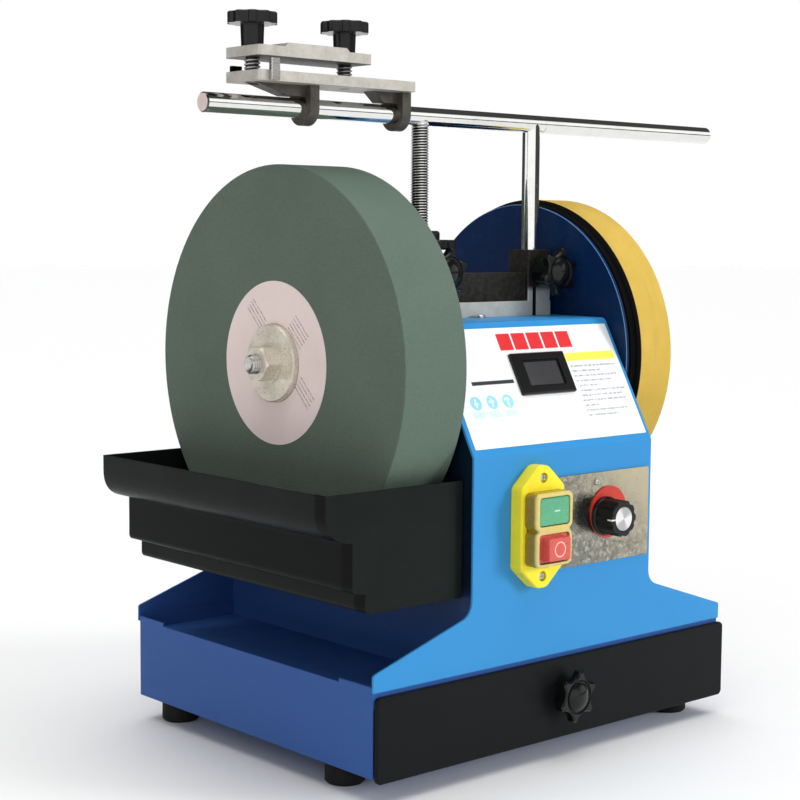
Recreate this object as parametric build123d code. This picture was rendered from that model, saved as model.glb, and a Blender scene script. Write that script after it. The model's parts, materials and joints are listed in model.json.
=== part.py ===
from build123d import *
import os
from math import cos, radians, sin, sqrt, tan

# Wet grinding sharpener, in millimetres.
# Z = 0 is the bench, -Y is the operator's side, the grinding stone is on the -X side and the
# leather honing wheel on the +X side.  The origin is under the middle of the machine's box.

# ---------------------------------------------------------------- sheet metal base
SHEET = 1.5                      # thickness of every steel sheet
BASE_X = (-181.0, 137.0)
BASE_Y = (-121.3, 125.2)
BASE_Z = (16.5, 71.3)
DECK_TOP = 62.0
DRAWER_BAY_TOP = 58.0
LIP_DROP = 2.3                   # how far the side walls dip between their corner tabs
LIP_Y = (-91.0, 96.0)

FOOT_R = 12.5
FEET = ((-161.0, -73.0), (-161.0, 105.0), (117.0, -95.0), (117.0, 105.0))

# ---------------------------------------------------------------- housing
COLUMN_X = (-102.4, 60.4)
FRONT_Y = BASE_Y[0] - SHEET
REAR_Y = BASE_Y[1] + SHEET
FOOT_Z = 68.0                    # lower edge of the front and rear covers
FOOT_EDGE_Z = 78.5               # height of the covers at the base's ends
KNEE_Z = 103.5                   # where the flared foot meets the column
KNEE_R = 11.0
BEND_Z = 199.6                   # bend between the upright front and the sloping panel
TOP_Z = 278.4
SLOPE = 61.25                    # degrees above the horizontal
BEND_R = 5.0
SEAM_Y = 62.0                    # joint between front and rear covers, across the top

GLAND_X = -21.0
GLAND_Z = 104.0
GLAND_END_Y = 147.0
GLAND_BORE_R = 4.2

# ---------------------------------------------------------------- wheels
SHAFT_Y = 4.2
SHAFT_Z = 251.7
SHAFT_R = 10.0
STUB_R = 6.0                     # threaded end that carries the stone
BEARING_R = 21.0
BEARING_X = ((-103.4, -89.0), (47.0, 60.8))
BEARING_FLANGE_X = ((-100.9, -95.0), (52.5, 58.9))
STONE_R = 125.0
STONE_X = (-156.3, -107.0)
LABEL_R = 52.0
FLANGE_R = 24.7
DISC_X = (61.2, 63.9)
DISC_R = 103.6
TYRE_X = (65.0, 71.0)
TYRE_R = 104.0
TYRE_SEAT_R = 95.0
HONING_X = (71.7, 102.5)
HONING_R = 107.1
LEATHER = 3.0

# ---------------------------------------------------------------- motor and friction drive
SPINDLE_R = 6.5
DRIVE_GAP = 0.3
MOTOR_Z = SHAFT_Z - TYRE_R - SPINDLE_R - DRIVE_GAP
MOTOR_R = 44.0
MOTOR_X = (-64.0, 40.0)
ROTOR_R = 7.0

# ---------------------------------------------------------------- water tray
TRAY_X = (-209.9, -103.6)
TRAY_Y = (-114.5, 122.9)
TRAY_Z = (113.0, 185.2)
TRAY_WALL = 1.8
STUD_Y = (-105.0, 113.0)
STUD_Z = 172.0
TRAY_LIFT = 8.0

# ---------------------------------------------------------------- drawer
DRAWER_FRONT_X = (-179.5, 139.0)
DRAWER_FRONT_Y = (-125.0, -122.0)
DRAWER_FRONT_Z = (13.2, 65.1)
DRAWER_BOX_X = (-172.0, 128.0)
DRAWER_BOX_Y = (-122.0, 92.0)
DRAWER_BOX_Z = (19.0, 56.0)
DRAWER_LIP = 4.5
DRAWER_KNOB = (-20.8, 41.2)      # X and Z

# ---------------------------------------------------------------- controls
SWITCH_X = -51.2
SWITCH_Z = 153.3
SWITCH_W = 38.0
SWITCH_H = 77.0
SWITCH_FLANK = 50.5              # straight part of the switch plate's sides
SWITCH_APEX = 8.4                # width of the plate's ends
SWITCH_T = 9.5
START_Z = 164.6
STOP_Z = 141.4
START_FACE_Y = -141.8
STOP_SKIRT_Y = -141.0
STOP_FACE_Y = -147.0
START_SIZE = (25.8, 17.3)
STOP_SKIRT = (25.8, 17.6)
STOP_SIZE = (19.2, 14.2)
BUTTON_BACK_Y = -128.5
BOOT_Y = (-142.2, -132.3)
SWITCH_SCREW_UP = 30.9           # height of the screws above and below the plate's middle
PLATE_X = (-31.0, 57.3)
PLATE_Z = (122.8, 181.8)
DIAL = (17.4, 155.2)             # X and Z of the middle of the red disc
KNOB_X = 12.8                    # axis of the speed control, below and left of it
KNOB_Z = 153.1
DIAL_R = 17.0
SPEED_KNOB_R = 11.8
SPEED_KNOB_Y = (-142.0, -125.4)
PLATE_TAB = (6.4, 175.6)         # X and Z of the small screw above the dial
SCREEN_X = -19.4
SCREEN_S = 51.8                  # distance up the sloping panel
SHEET_CENTRE = (-20.75, 44.95)   # printed sheet: X and distance up the panel
SHEET_SIZE = (156.5, 80.5)

# ---------------------------------------------------------------- tool support
ROD_R = 6.0
FIT = 0.05                       # radial clearance of a running fit
BAR_HALF = 231.3
BAR_Y = -24.5
BAR_Z = 409.7
LEG_X = (-60.1, 43.0)
LEG_FOOT_Z = 206.0
BLOCK_Y = (-34.4, -14.6)
BLOCK_TOP = 323.6
FLANGE_T = 10.3                  # thickness of the block's foot
UPRIGHT_HALF = 11.2
BLOCK_BOLT_X = (-36.0, -8.5, 19.0)
CLAMP_Z = 308.8
CLAMP_SEAT_Y = -37.4
CLAMP_R = 16.2
STAR_TURN = 20.0                 # degrees that the star knobs' lobes stand turned
STAR_DOME = 3.6                  # height of the dome on a star knob
STANDING = (Align.CENTER, Align.CENTER, Align.MIN)
CLAMP_SLOT = (-6.4, -2.8)        # slot beside each leg's bore, from the leg's axis
BAR_MARK_X = 52.0                # scribed ring that marks the bar's free end

# ---------------------------------------------------------------- clamping jig on the bar
JIG_Y = (-40.5, -5.5)
JIG_CORNER = 1.6                 # bevel of the plates' corners
JIG_PLATE_X = (-201.6, -77.4)
JIG_PLATE_Z = (423.5, 429.8)
JAW_X = (-201.6, -114.2)
JAW_Y = (JIG_Y[0] + 0.15, JIG_Y[1])             # the jaw's front clears the stop tab
JAW_Z = (438.0, 444.3)
JAW_RIDGE_X = (-182.0, -132.6)
JAW_RIDGE = 2.3
JIG_KNOB_X = (-195.0, -124.0)
LUG_X = ((-158.9, -152.0), (-84.4, -77.4))
LUG_R = 10.5
RIB_X = ((-199.7, -172.1), (-104.6, -96.2))   # where each rib leaves the plate and levels out
RIB_Z = 416.5
RIB_HALF = 5.5
BUSH_R = 7.5
JIG_STUD_R = 3.9


# ================================================================ helpers
def block(x, y, z):
    """A box between the given limits along X, Y and Z."""
    centre = Pos((x[0] + x[1]) / 2, (y[0] + y[1]) / 2, (z[0] + z[1]) / 2)
    return centre * Box(x[1] - x[0], y[1] - y[0], z[1] - z[0])


def rod_x(radius, x, y, z):
    """A cylinder along X between x[0] and x[1]."""
    return Pos((x[0] + x[1]) / 2, y, z) * Rot(0, 90, 0) * Cylinder(radius, x[1] - x[0])


def rod_y(radius, x, y, z):
    """A cylinder along Y between y[0] and y[1]."""
    return Pos(x, (y[0] + y[1]) / 2, z) * Rot(90, 0, 0) * Cylinder(radius, y[1] - y[0])


def rod_z(radius, x, y, z):
    """A cylinder along Z between z[0] and z[1]."""
    return Pos(x, y, (z[0] + z[1]) / 2) * Cylinder(radius, z[1] - z[0])


def on_shaft(radius, x):
    """A cylinder on the wheel shaft's axis."""
    return rod_x(radius, x, SHAFT_Y, SHAFT_Z)


def facing_front(sketch, y):
    """Extrude a sketch drawn in X and Z between y[0] and y[1]."""
    plane = Plane(origin=(0, y[1], 0), x_dir=(1, 0, 0), z_dir=(0, -1, 0))
    return extrude(plane * sketch, amount=y[1] - y[0])


def facing_side(sketch, x):
    """Extrude a sketch drawn in Y and Z between x[0] and x[1]."""
    return extrude(Plane.YZ.offset(x[0]) * sketch, amount=x[1] - x[0])


def on_slope(x, s, height):
    """The frame of the sloping panel: s runs up the slope, height stands off it."""
    return Pos(0, FRONT_Y, BEND_Z) * Rot(SLOPE, 0, 0) * Pos(x, s, height)


def spread(count, start=0.0):
    """Angles, in degrees, of count places round a circle."""
    return [start + 360.0 * i / count for i in range(count)]


def pan_screw(radius, height):
    """A round screw head, seen from +Z, with a cross recess."""
    head = fillet(Cylinder(radius, height).edges().group_by(Axis.Z)[-1], 0.6 * height)
    cross = Box(1.3 * radius, 0.22 * radius, height) + Box(0.22 * radius, 1.3 * radius, height)
    return Pos(0, 0, height / 2) * (head - Pos(0, 0, 0.5 * height) * cross)


def lobed_disc(radius, depth, lobes, height, rounding, breadth=0.40):
    """A disc with hollows between its lobes, each hollow's radius being breadth of the disc's."""
    hollow = radius * breadth
    sketch = Sketch() + Circle(radius)
    for angle in spread(lobes, 180.0 / lobes):
        sketch -= Rot(0, 0, angle) * Pos(radius - depth + hollow, 0) * Circle(hollow)
    sketch = fillet(sketch.vertices(), rounding)
    disc = extrude(sketch, amount=height)
    return chamfer(disc.edges().group_by(Axis.Z)[-1], 0.16 * height)


def star_knob(radius, head_height, hub_radius, hub_height):
    """A six-lobed knob standing on Z = 0: a hub, a thin star and a dome ringed by a groove."""
    top = hub_height + head_height
    knob = Cylinder(hub_radius, hub_height + 1.0, align=STANDING)
    star = Rot(0, 0, STAR_TURN) * lobed_disc(radius, 0.27 * radius, 6, head_height, 1.3, 0.52)
    knob += Pos(0, 0, hub_height) * star
    dome_r = 0.56 * radius
    knob -= Pos(0, 0, top) * Torus(dome_r + 0.5, 1.2)
    ball_r = (dome_r ** 2 + STAR_DOME ** 2) / (2 * STAR_DOME)
    ball = Pos(0, 0, top + STAR_DOME - ball_r) * Sphere(ball_r)
    return knob + (ball & Pos(0, 0, top - 2.0) * Cylinder(dome_r, 10, align=STANDING))


# ================================================================ base
def base_shell():
    inner_x = (BASE_X[0] + SHEET, BASE_X[1] - SHEET)
    inner_y = (BASE_Y[0] + SHEET, BASE_Y[1] - SHEET)
    shell = block(BASE_X, BASE_Y, BASE_Z)
    shell = fillet(shell.edges().filter_by(Axis.Z), SHEET)
    shell -= block(inner_x, (BASE_Y[0] - 5, inner_y[1]), (BASE_Z[0] + SHEET, DRAWER_BAY_TOP))
    shell -= block(inner_x, inner_y, (BASE_Z[0] + SHEET, BASE_Z[1] + 5))
    dip = (BASE_Z[1] - LIP_DROP, BASE_Z[1] + 5)
    shell -= block((BASE_X[0] - 5, BASE_X[1] + 5), LIP_Y, dip)
    return shell


def deck_plate():
    deck_x = (BASE_X[0] + SHEET, BASE_X[1] - SHEET)
    deck_y = (BASE_Y[0] + SHEET, BASE_Y[1] - SHEET)
    return block(deck_x, deck_y, (DECK_TOP - SHEET, DECK_TOP))


def rubber_feet():
    feet = []
    for x, y in FEET:
        foot = Cylinder(FOOT_R, BASE_Z[0])
        foot = chamfer(foot.edges().group_by(Axis.Z)[0], 1.5)
        recess = Pos(0, 0, -BASE_Z[0] / 2) * Cylinder(5.0, 8.0)
        feet.append(Pos(x, y, BASE_Z[0] / 2) * (foot - recess))
    return feet


def drawer_runners():
    runners = []
    wall = BASE_X[0] + SHEET
    lip_under = DRAWER_BOX_Z[1] - SHEET - 0.2
    for mirrored in (False, True):
        upright = block((wall, wall + SHEET), (-112.0, 110.0), (44.0, lip_under))
        ledge = block((wall, wall + 5.8), (-112.0, 110.0), (lip_under - SHEET, lip_under))
        rail = upright + ledge
        if mirrored:
            rail = Pos(BASE_X[0] + BASE_X[1], 0, 0) * rail.mirror(Plane.YZ)
        runners.append(rail)
    return runners


# ================================================================ housing
def housing_outline(inset, bottom):
    """The housing's section in Y and Z, moved inwards by inset and cut off at bottom."""
    slope = radians(SLOPE)
    along = inset * (1 - sin(slope)) / cos(slope)
    bend_z = BEND_Z + along * sin(slope) - inset * cos(slope)
    reach = (TOP_Z - inset - BEND_Z + inset * cos(slope)) / sin(slope)
    top_in = reach * cos(slope) + inset * sin(slope)
    corners = [
        (FRONT_Y + inset, bottom),
        (FRONT_Y + inset, bend_z),
        (FRONT_Y + top_in, TOP_Z - inset),
        (REAR_Y - top_in, TOP_Z - inset),
        (REAR_Y - inset, bend_z),
        (REAR_Y - inset, bottom),
    ]
    face = make_face(Polyline(*corners, close=True))
    bends = [v for v in face.vertices() if v.Y > bottom + 1]
    return fillet(bends, BEND_R - inset)


def housing_wrap():
    wrap = facing_side(housing_outline(0, FOOT_Z), COLUMN_X)
    return wrap - facing_side(housing_outline(SHEET, FOOT_Z - 5), (COLUMN_X[0] - 5, COLUMN_X[1] + 5))


def foot_plate(y):
    """The upright part of a cover, flared out to the full length of the base."""
    end_x = (BASE_X[0], BASE_X[1] - 1.0)
    corners = [
        (end_x[0], FOOT_Z),
        (end_x[0], FOOT_EDGE_Z),
        (COLUMN_X[0], KNEE_Z),
        (COLUMN_X[0], BEND_Z - 20),
        (COLUMN_X[1], BEND_Z - 20),
        (COLUMN_X[1], KNEE_Z),
        (end_x[1], FOOT_EDGE_Z),
        (end_x[1], FOOT_Z),
    ]
    face = make_face(Polyline(*corners, close=True))
    knees = [v for v in face.vertices() if abs(v.Y - KNEE_Z) < 0.1]
    face = fillet(knees, KNEE_R)
    tips = [v for v in face.vertices() if abs(v.Y - FOOT_EDGE_Z) < 0.1]
    face = fillet(tips, 2.0)
    return facing_front(face, y)


def front_cover():
    front = housing_wrap() & block((-300, 300), (-300, SEAM_Y), (0, 400))
    front += foot_plate((FRONT_Y, BASE_Y[0]))
    for x in LEG_X:
        front -= rod_z(ROD_R + 1.5, x, BAR_Y, (TOP_Z - 10, TOP_Z + 10))
    for x in BLOCK_BOLT_X:
        front -= rod_z(2.8, x, BLOCK_Y[1] + 2, (TOP_Z - 10, TOP_Z + 10))
    front -= block((SWITCH_X - 15, SWITCH_X + 15), (FRONT_Y - 5, FRONT_Y + 5), (129, 179))
    front -= rod_y(5.0, KNOB_X, (FRONT_Y - 5, FRONT_Y + 5), KNOB_Z)
    front -= on_slope(SCREEN_X, SCREEN_S, 0) * Box(40, 20, 10)
    return front


def rear_cover():
    rear = housing_wrap() & block((-300, 300), (SEAM_Y + 0.3, 300), (0, 400))
    rear += foot_plate((BASE_Y[1], REAR_Y))
    for row in range(5):
        for column in (-1, 1):
            slot = SlotOverall(46, 4.5)
            place = Pos(-21 + column * 32, 150 + row * 9)
            rear -= facing_front(place * slot, (REAR_Y - 5, REAR_Y + 5))
    rear -= rod_y(8.2, GLAND_X, (REAR_Y - 5, REAR_Y + 5), GLAND_Z)
    return rear


def housing_side(x, shaft_hole):
    side = facing_side(housing_outline(SHEET, DECK_TOP), x)
    low = (DECK_TOP - 5, BASE_Z[1] + 0.2)
    side -= block((x[0] - 5, x[1] + 5), (BASE_Y[0] - 5, BASE_Y[0] + SHEET), low)
    side -= block((x[0] - 5, x[1] + 5), (BASE_Y[1] - SHEET, BASE_Y[1] + 5), low)
    return side - on_shaft(shaft_hole, (x[0] - 5, x[1] + 5))


def housing_left():
    side = housing_side((COLUMN_X[0], COLUMN_X[0] + SHEET), BEARING_R)
    for y in STUD_Y:
        side -= rod_x(2.0, (COLUMN_X[0] - 5, COLUMN_X[0] + 5), y, STUD_Z)
    return side


def housing_right():
    side = housing_side((COLUMN_X[1] - SHEET, COLUMN_X[1]), BEARING_R)
    side -= rod_x(9.0, (COLUMN_X[1] - 5, COLUMN_X[1] + 5), SHAFT_Y, MOTOR_Z)
    return side


def shaft_bearings():
    """Flanged bearings bolted inside the two sides."""
    bearings = []
    for x, flange_x in zip(BEARING_X, BEARING_FLANGE_X):
        ring = on_shaft(BEARING_R - 0.3, x) + on_shaft(BEARING_R + 4, flange_x)
        ring -= on_shaft(SHAFT_R + FIT, (x[0] - 1, x[1] + 1))
        bearings.append(ring)
    return bearings


def cable_gland():
    """A cable gland in the rear cover, with a clear bore."""
    body = rod_y(8.0, GLAND_X, (REAR_Y - 14, REAR_Y + 1), GLAND_Z)
    seat = facing_front(Pos(GLAND_X, GLAND_Z) * RegularPolygon(12.0, 6), (REAR_Y, REAR_Y + 5))
    dome = facing_front(Pos(GLAND_X, GLAND_Z) * RegularPolygon(11.4, 6), (REAR_Y + 5, GLAND_END_Y - 5))
    tip = rod_y(9.2, GLAND_X, (GLAND_END_Y - 6, GLAND_END_Y), GLAND_Z)
    tip = fillet(tip.edges().group_by(Axis.Y)[-1], 3.5)
    locknut = facing_front(Pos(GLAND_X, GLAND_Z) * RegularPolygon(12.0, 6), (REAR_Y - 7, REAR_Y - SHEET))
    gland = body + seat + dome + tip + locknut
    return gland - rod_y(GLAND_BORE_R, GLAND_X, (REAR_Y - 20, GLAND_END_Y + 5), GLAND_Z)


def case_screws():
    """Pan-head screws of the covers, the dial plate and the switch plate."""
    screws = []
    for side in (-1, 1):
        place = Pos(SWITCH_X, FRONT_Y - SWITCH_T + 2.6, SWITCH_Z + side * SWITCH_SCREW_UP)
        screws.append(place * Rot(90, 0, 0) * pan_screw(2.7, 2.0))
    screws.append(Pos(PLATE_TAB[0], FRONT_Y - 1.2, PLATE_TAB[1]) * Rot(90, 0, 0) * pan_screw(2.2, 1.3))
    for x in (-165.0, -120.0, 78.0, 121.0):
        screws.append(Pos(x, REAR_Y, 74.5) * Rot(-90, 0, 0) * pan_screw(3.2, 2.0))
    for x in (-85.0, 43.0):
        screws.append(Pos(x, SEAM_Y + 9, TOP_Z) * pan_screw(3.2, 2.0))
        screws.append(Pos(x, REAR_Y, 130) * Rot(-90, 0, 0) * pan_screw(3.2, 2.0))
    return screws


# ================================================================ motor
def motor_case():
    case = rod_x(MOTOR_R, MOTOR_X, SHAFT_Y, MOTOR_Z)
    for i in range(7):
        groove_x = (MOTOR_X[0] + 18 + 10 * i, MOTOR_X[0] + 22 + 10 * i)
        ring = rod_x(MOTOR_R + 5, groove_x, SHAFT_Y, MOTOR_Z)
        case -= ring - rod_x(MOTOR_R - 3, groove_x, SHAFT_Y, MOTOR_Z)
    nose = rod_x(17.0, (MOTOR_X[1], MOTOR_X[1] + 8), SHAFT_Y, MOTOR_Z)
    bore_x = (MOTOR_X[0] + 20, MOTOR_X[1] + 20)
    return case + nose - rod_x(ROTOR_R + 0.5, bore_x, SHAFT_Y, MOTOR_Z)


def motor_cradle():
    cradle = block((-50, 26), (SHAFT_Y - 36, SHAFT_Y + 36), (DECK_TOP, MOTOR_Z - 18))
    cradle -= rod_x(MOTOR_R, (-60, 36), SHAFT_Y, MOTOR_Z)
    cradle -= block((-38, 14), (SHAFT_Y - 60, SHAFT_Y + 60), (DECK_TOP + 5, MOTOR_Z))
    return cradle


def motor_bolts():
    bolts = []
    for x in (-44.0, 20.0):
        for side in (-1, 1):
            bolt = RegularPolygon(5.5, 6)
            place = Pos(x, SHAFT_Y + side * 28, DECK_TOP - SHEET - 3.5)
            bolts.append(place * extrude(bolt, amount=3.5))
    return bolts


def motor_shaft():
    """The rotor's shaft, stepped down through the housing, and the spindle that drives the tyre."""
    shaft = rod_x(ROTOR_R, (MOTOR_X[0] + 21, MOTOR_X[1] + 9), SHAFT_Y, MOTOR_Z)
    shaft += rod_x(SPINDLE_R - 2, (MOTOR_X[1] + 8, TYRE_X[0] - 3), SHAFT_Y, MOTOR_Z)
    return shaft + rod_x(SPINDLE_R, (TYRE_X[0] - 3, TYRE_X[1] - 0.5), SHAFT_Y, MOTOR_Z)


# ================================================================ wheels
def wheel_shaft():
    shaft = on_shaft(SHAFT_R, (STONE_X[1] + 0.2, DISC_X[0]))
    shaft += on_shaft(STUB_R, (-177.0, STONE_X[1] + 1))
    shaft += on_shaft(8.0, (DISC_X[0] - 1, HONING_X[1] - 4))
    shaft += on_shaft(STUB_R, (HONING_X[1] - 5, HONING_X[1] + 12))
    tips = [e for e in shaft.edges().filter_by(GeomType.CIRCLE) if abs(e.radius - STUB_R) < 0.01]
    ends = [min(tips, key=lambda e: e.center().X), max(tips, key=lambda e: e.center().X)]
    shaft = chamfer(ends, 1.0)
    return shaft - Pos(-177.0, SHAFT_Y, SHAFT_Z) * Rot(0, 90, 0) * Cone(2.2, 0.4, 4.0)


def grinding_stone():
    stone = on_shaft(STONE_R, STONE_X)
    stone = fillet(stone.edges().filter_by(GeomType.CIRCLE), 0.8)
    return stone - on_shaft(STUB_R + FIT, (STONE_X[0] - 1, STONE_X[1] + 1))


def stone_label():
    ring = on_shaft(LABEL_R, (STONE_X[0] - 0.25, STONE_X[0]))
    return ring - on_shaft(FLANGE_R + 0.3, (STONE_X[0] - 1, STONE_X[0] + 1))


def stone_flanges():
    """The washer under the nut, and the thin flange between stone and housing."""
    outer = on_shaft(FLANGE_R, (STONE_X[0] - 4.2, STONE_X[0]))
    outer = chamfer(outer.edges().group_by(Axis.X)[0], 0.8)
    outer -= on_shaft(STUB_R + FIT, (STONE_X[0] - 6, STONE_X[0] + 1))
    inner = on_shaft(FLANGE_R + 5, (STONE_X[1], STONE_X[1] + 2.8))
    inner -= on_shaft(SHAFT_R + FIT, (STONE_X[1] - 1, STONE_X[1] + 4))
    return [outer, inner]


def hex_nut(across_flats, thickness, bore):
    """A chamfered nut on the X axis, from X = 0 to -thickness."""
    corner_r = across_flats / sqrt(3)
    prism = extrude(Plane.YZ * RegularPolygon(corner_r, 6), amount=-thickness)
    cone = Pos(-thickness / 2, 0, 0) * Rot(0, 90, 0) * Cylinder(corner_r, thickness)
    cone = chamfer(cone.edges().group_by(Axis.X)[0], 0.13 * corner_r)
    hole = Rot(0, 90, 0) * Cylinder(bore, 3 * thickness)
    return (prism & cone) - hole


def stone_nut():
    seat = on_shaft(12.6, (STONE_X[0] - 5.6, STONE_X[0] - 4.2))
    seat -= on_shaft(STUB_R + FIT, (STONE_X[0] - 7, STONE_X[0] - 3))
    nut = Pos(STONE_X[0] - 5.6, SHAFT_Y, SHAFT_Z) * hex_nut(21.0, 9.5, STUB_R + FIT)
    return seat + nut


def drive_disc():
    disc = on_shaft(DISC_R, DISC_X)
    disc = chamfer(disc.edges().filter_by(GeomType.CIRCLE), 0.5)
    return disc - on_shaft(8.0 + FIT, (DISC_X[0] - 1, DISC_X[1] + 1))


def drive_tyre():
    tyre = on_shaft(TYRE_R, TYRE_X)
    return tyre - on_shaft(TYRE_SEAT_R + FIT, (TYRE_X[0] - 1, TYRE_X[1] + 1))


def honing_core():
    """The moulded wheel: a seat for the tyre, a rim for the leather, a web with ribs."""
    rim_r = HONING_R - LEATHER
    core = on_shaft(TYRE_SEAT_R, (DISC_X[1], HONING_X[0] + 1)) + on_shaft(rim_r, HONING_X)
    hollow = on_shaft(rim_r - 9, (HONING_X[0] + 9, HONING_X[1] + 1))
    hollow -= on_shaft(20.0, HONING_X)
    for angle in spread(6, 30.0):
        rib = Box(20, 5.0, 90)
        place = Pos(HONING_X[0] + 16, SHAFT_Y, SHAFT_Z) * Rot(angle, 0, 0)
        hollow -= place * Pos(0, 0, 52) * rib
    core -= hollow
    return core - on_shaft(8.0 + FIT, (DISC_X[1] - 1, HONING_X[1] + 1))


def honing_leather():
    band = on_shaft(HONING_R, (HONING_X[0], HONING_X[1]))
    return band - on_shaft(HONING_R - LEATHER + FIT, (HONING_X[0] - 1, HONING_X[1] + 1))


def honing_nut():
    washer = on_shaft(14.0, (HONING_X[1], HONING_X[1] + 1.6))
    washer -= on_shaft(STUB_R + FIT, (HONING_X[1] - 1, HONING_X[1] + 4))
    nut = hex_nut(19.0, 8.0, STUB_R + FIT).mirror(Plane.YZ)
    return washer + Pos(HONING_X[1] + 1.6, SHAFT_Y, SHAFT_Z) * nut


# ================================================================ water tray
def tray_outline(inset):
    """The tray's section in X and Z: a round-bellied lip, two steps and a plain back."""
    left = TRAY_X[0] + inset
    back = TRAY_X[1] - inset
    floor = TRAY_Z[0] + inset
    waist = -190.0 + inset
    heel = -180.2 + inset
    path = Polyline((left, TRAY_Z[1]), (back, TRAY_Z[1]), (back, floor + 1.0), (back - 1.0, floor))
    path += Line((back - 1.0, floor), (heel + 4.0, floor))
    path += Spline((heel + 4.0, floor), (heel, floor + 4.0), tangents=((-1, 0), (0, 1)))
    path += Line((heel, floor + 4.0), (heel, 125.0))
    path += Line((heel, 125.0), (waist + 4.0, 126.0))
    path += Spline((waist + 4.0, 126.0), (waist, 130.0), tangents=((-1, 0), (0, 1)))
    path += Line((waist, 130.0), (waist, 156.0))
    path += Line((waist, 156.0), (waist - 3.0, 156.4))
    path += Spline((waist - 3.0, 156.4), (left, TRAY_Z[1] - 10.0), tangents=((-1, 0.1), (0, 1)))
    path += Line((left, TRAY_Z[1] - 10.0), (left, TRAY_Z[1]))
    return make_face(path)


def water_tray():
    """A moulded trough that hangs by two keyholes on studs in the housing's side."""
    plane = Plane(origin=(0, TRAY_Y[1], 0), x_dir=(1, 0, 0), z_dir=(0, -1, 0))
    tray = extrude(plane * tray_outline(0), amount=TRAY_Y[1] - TRAY_Y[0])
    inside_plane = Plane(origin=(0, TRAY_Y[1] - TRAY_WALL, 0), x_dir=(1, 0, 0), z_dir=(0, -1, 0))
    hollow = extrude(inside_plane * tray_outline(TRAY_WALL), amount=TRAY_Y[1] - TRAY_Y[0] - 2 * TRAY_WALL)
    tray -= hollow
    for y in STUD_Y:
        tray -= keyhole(y)
    return tray


def keyhole(y):
    wall_x = (TRAY_X[1] - TRAY_WALL - 2, TRAY_X[1] + 2)
    slot = rod_x(3.3, wall_x, y, STUD_Z)
    slot += block(wall_x, (y - 3.3, y + 3.3), (STUD_Z - TRAY_LIFT - 0.5, STUD_Z))
    return slot + rod_x(6.3, wall_x, y, STUD_Z - TRAY_LIFT)


def tray_studs():
    studs = []
    for y in STUD_Y:
        head_x = TRAY_X[1] - TRAY_WALL - 0.5
        stud = rod_x(3.0, (head_x - 0.5, COLUMN_X[0]), y, STUD_Z - 0.1)
        stud += rod_x(1.9, (COLUMN_X[0] - 0.5, COLUMN_X[0] + 6), y, STUD_Z)
        head = rod_x(5.5, (head_x - 2.0, head_x), y, STUD_Z - 0.1)
        studs.append(stud + fillet(head.edges().group_by(Axis.X)[0], 0.8))
    return studs


# ================================================================ drawer
def drawer_front():
    width = DRAWER_FRONT_X[1] - DRAWER_FRONT_X[0]
    height = DRAWER_FRONT_Z[1] - DRAWER_FRONT_Z[0]
    centre = Pos(sum(DRAWER_FRONT_X) / 2, sum(DRAWER_FRONT_Z) / 2)
    panel = facing_front(centre * RectangleRounded(width, height, 3.5), DRAWER_FRONT_Y)
    return fillet(panel.edges().group_by(Axis.Y)[0], 1.0)


def drawer_box():
    box = block(DRAWER_BOX_X, DRAWER_BOX_Y, DRAWER_BOX_Z)
    lips_x = (DRAWER_BOX_X[0] - DRAWER_LIP, DRAWER_BOX_X[1] + DRAWER_LIP)
    box += block(lips_x, (-116.0, DRAWER_BOX_Y[1]), (DRAWER_BOX_Z[1] - SHEET, DRAWER_BOX_Z[1]))
    inner_x = (DRAWER_BOX_X[0] + SHEET, DRAWER_BOX_X[1] - SHEET)
    inner_y = (DRAWER_BOX_Y[0] + SHEET, DRAWER_BOX_Y[1] - SHEET)
    return box - block(inner_x, inner_y, (DRAWER_BOX_Z[0] + SHEET, DRAWER_BOX_Z[1] + 5))


def drawer_knob():
    knob = star_knob(16.4, 5.6, 9.0, 6.4)
    return Pos(DRAWER_KNOB[0], DRAWER_FRONT_Y[0], DRAWER_KNOB[1]) * Rot(90, 0, 0) * knob


# ================================================================ controls
def control_sheet():
    """The thin printed sheet on the sloping panel, cut out for the display."""
    sheet = on_slope(*SHEET_CENTRE, 0) * extrude(RectangleRounded(*SHEET_SIZE, 0.8), amount=0.3)
    return sheet - on_slope(SCREEN_X, SCREEN_S, 0) * Box(40, 20, 10)


def display_bezel():
    frame = extrude(RectangleRounded(49.0, 28.8, 1.0), amount=2.6)
    frame = chamfer(frame.edges().group_by(Axis.Z)[-1], 0.9)
    frame += Pos(0, 0, -3.0) * extrude(RectangleRounded(39.6, 19.6, 1.0), amount=4.0)
    window = Pos(0, 0, 1.2) * extrude(RectangleRounded(33.4, 18.6, 0.8), amount=5.0)
    return on_slope(SCREEN_X, SCREEN_S, 0.3) * (frame - window)


def display_screen():
    return on_slope(SCREEN_X, SCREEN_S, 1.5) * extrude(RectangleRounded(33.2, 18.4, 0.7), amount=0.6)


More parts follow.
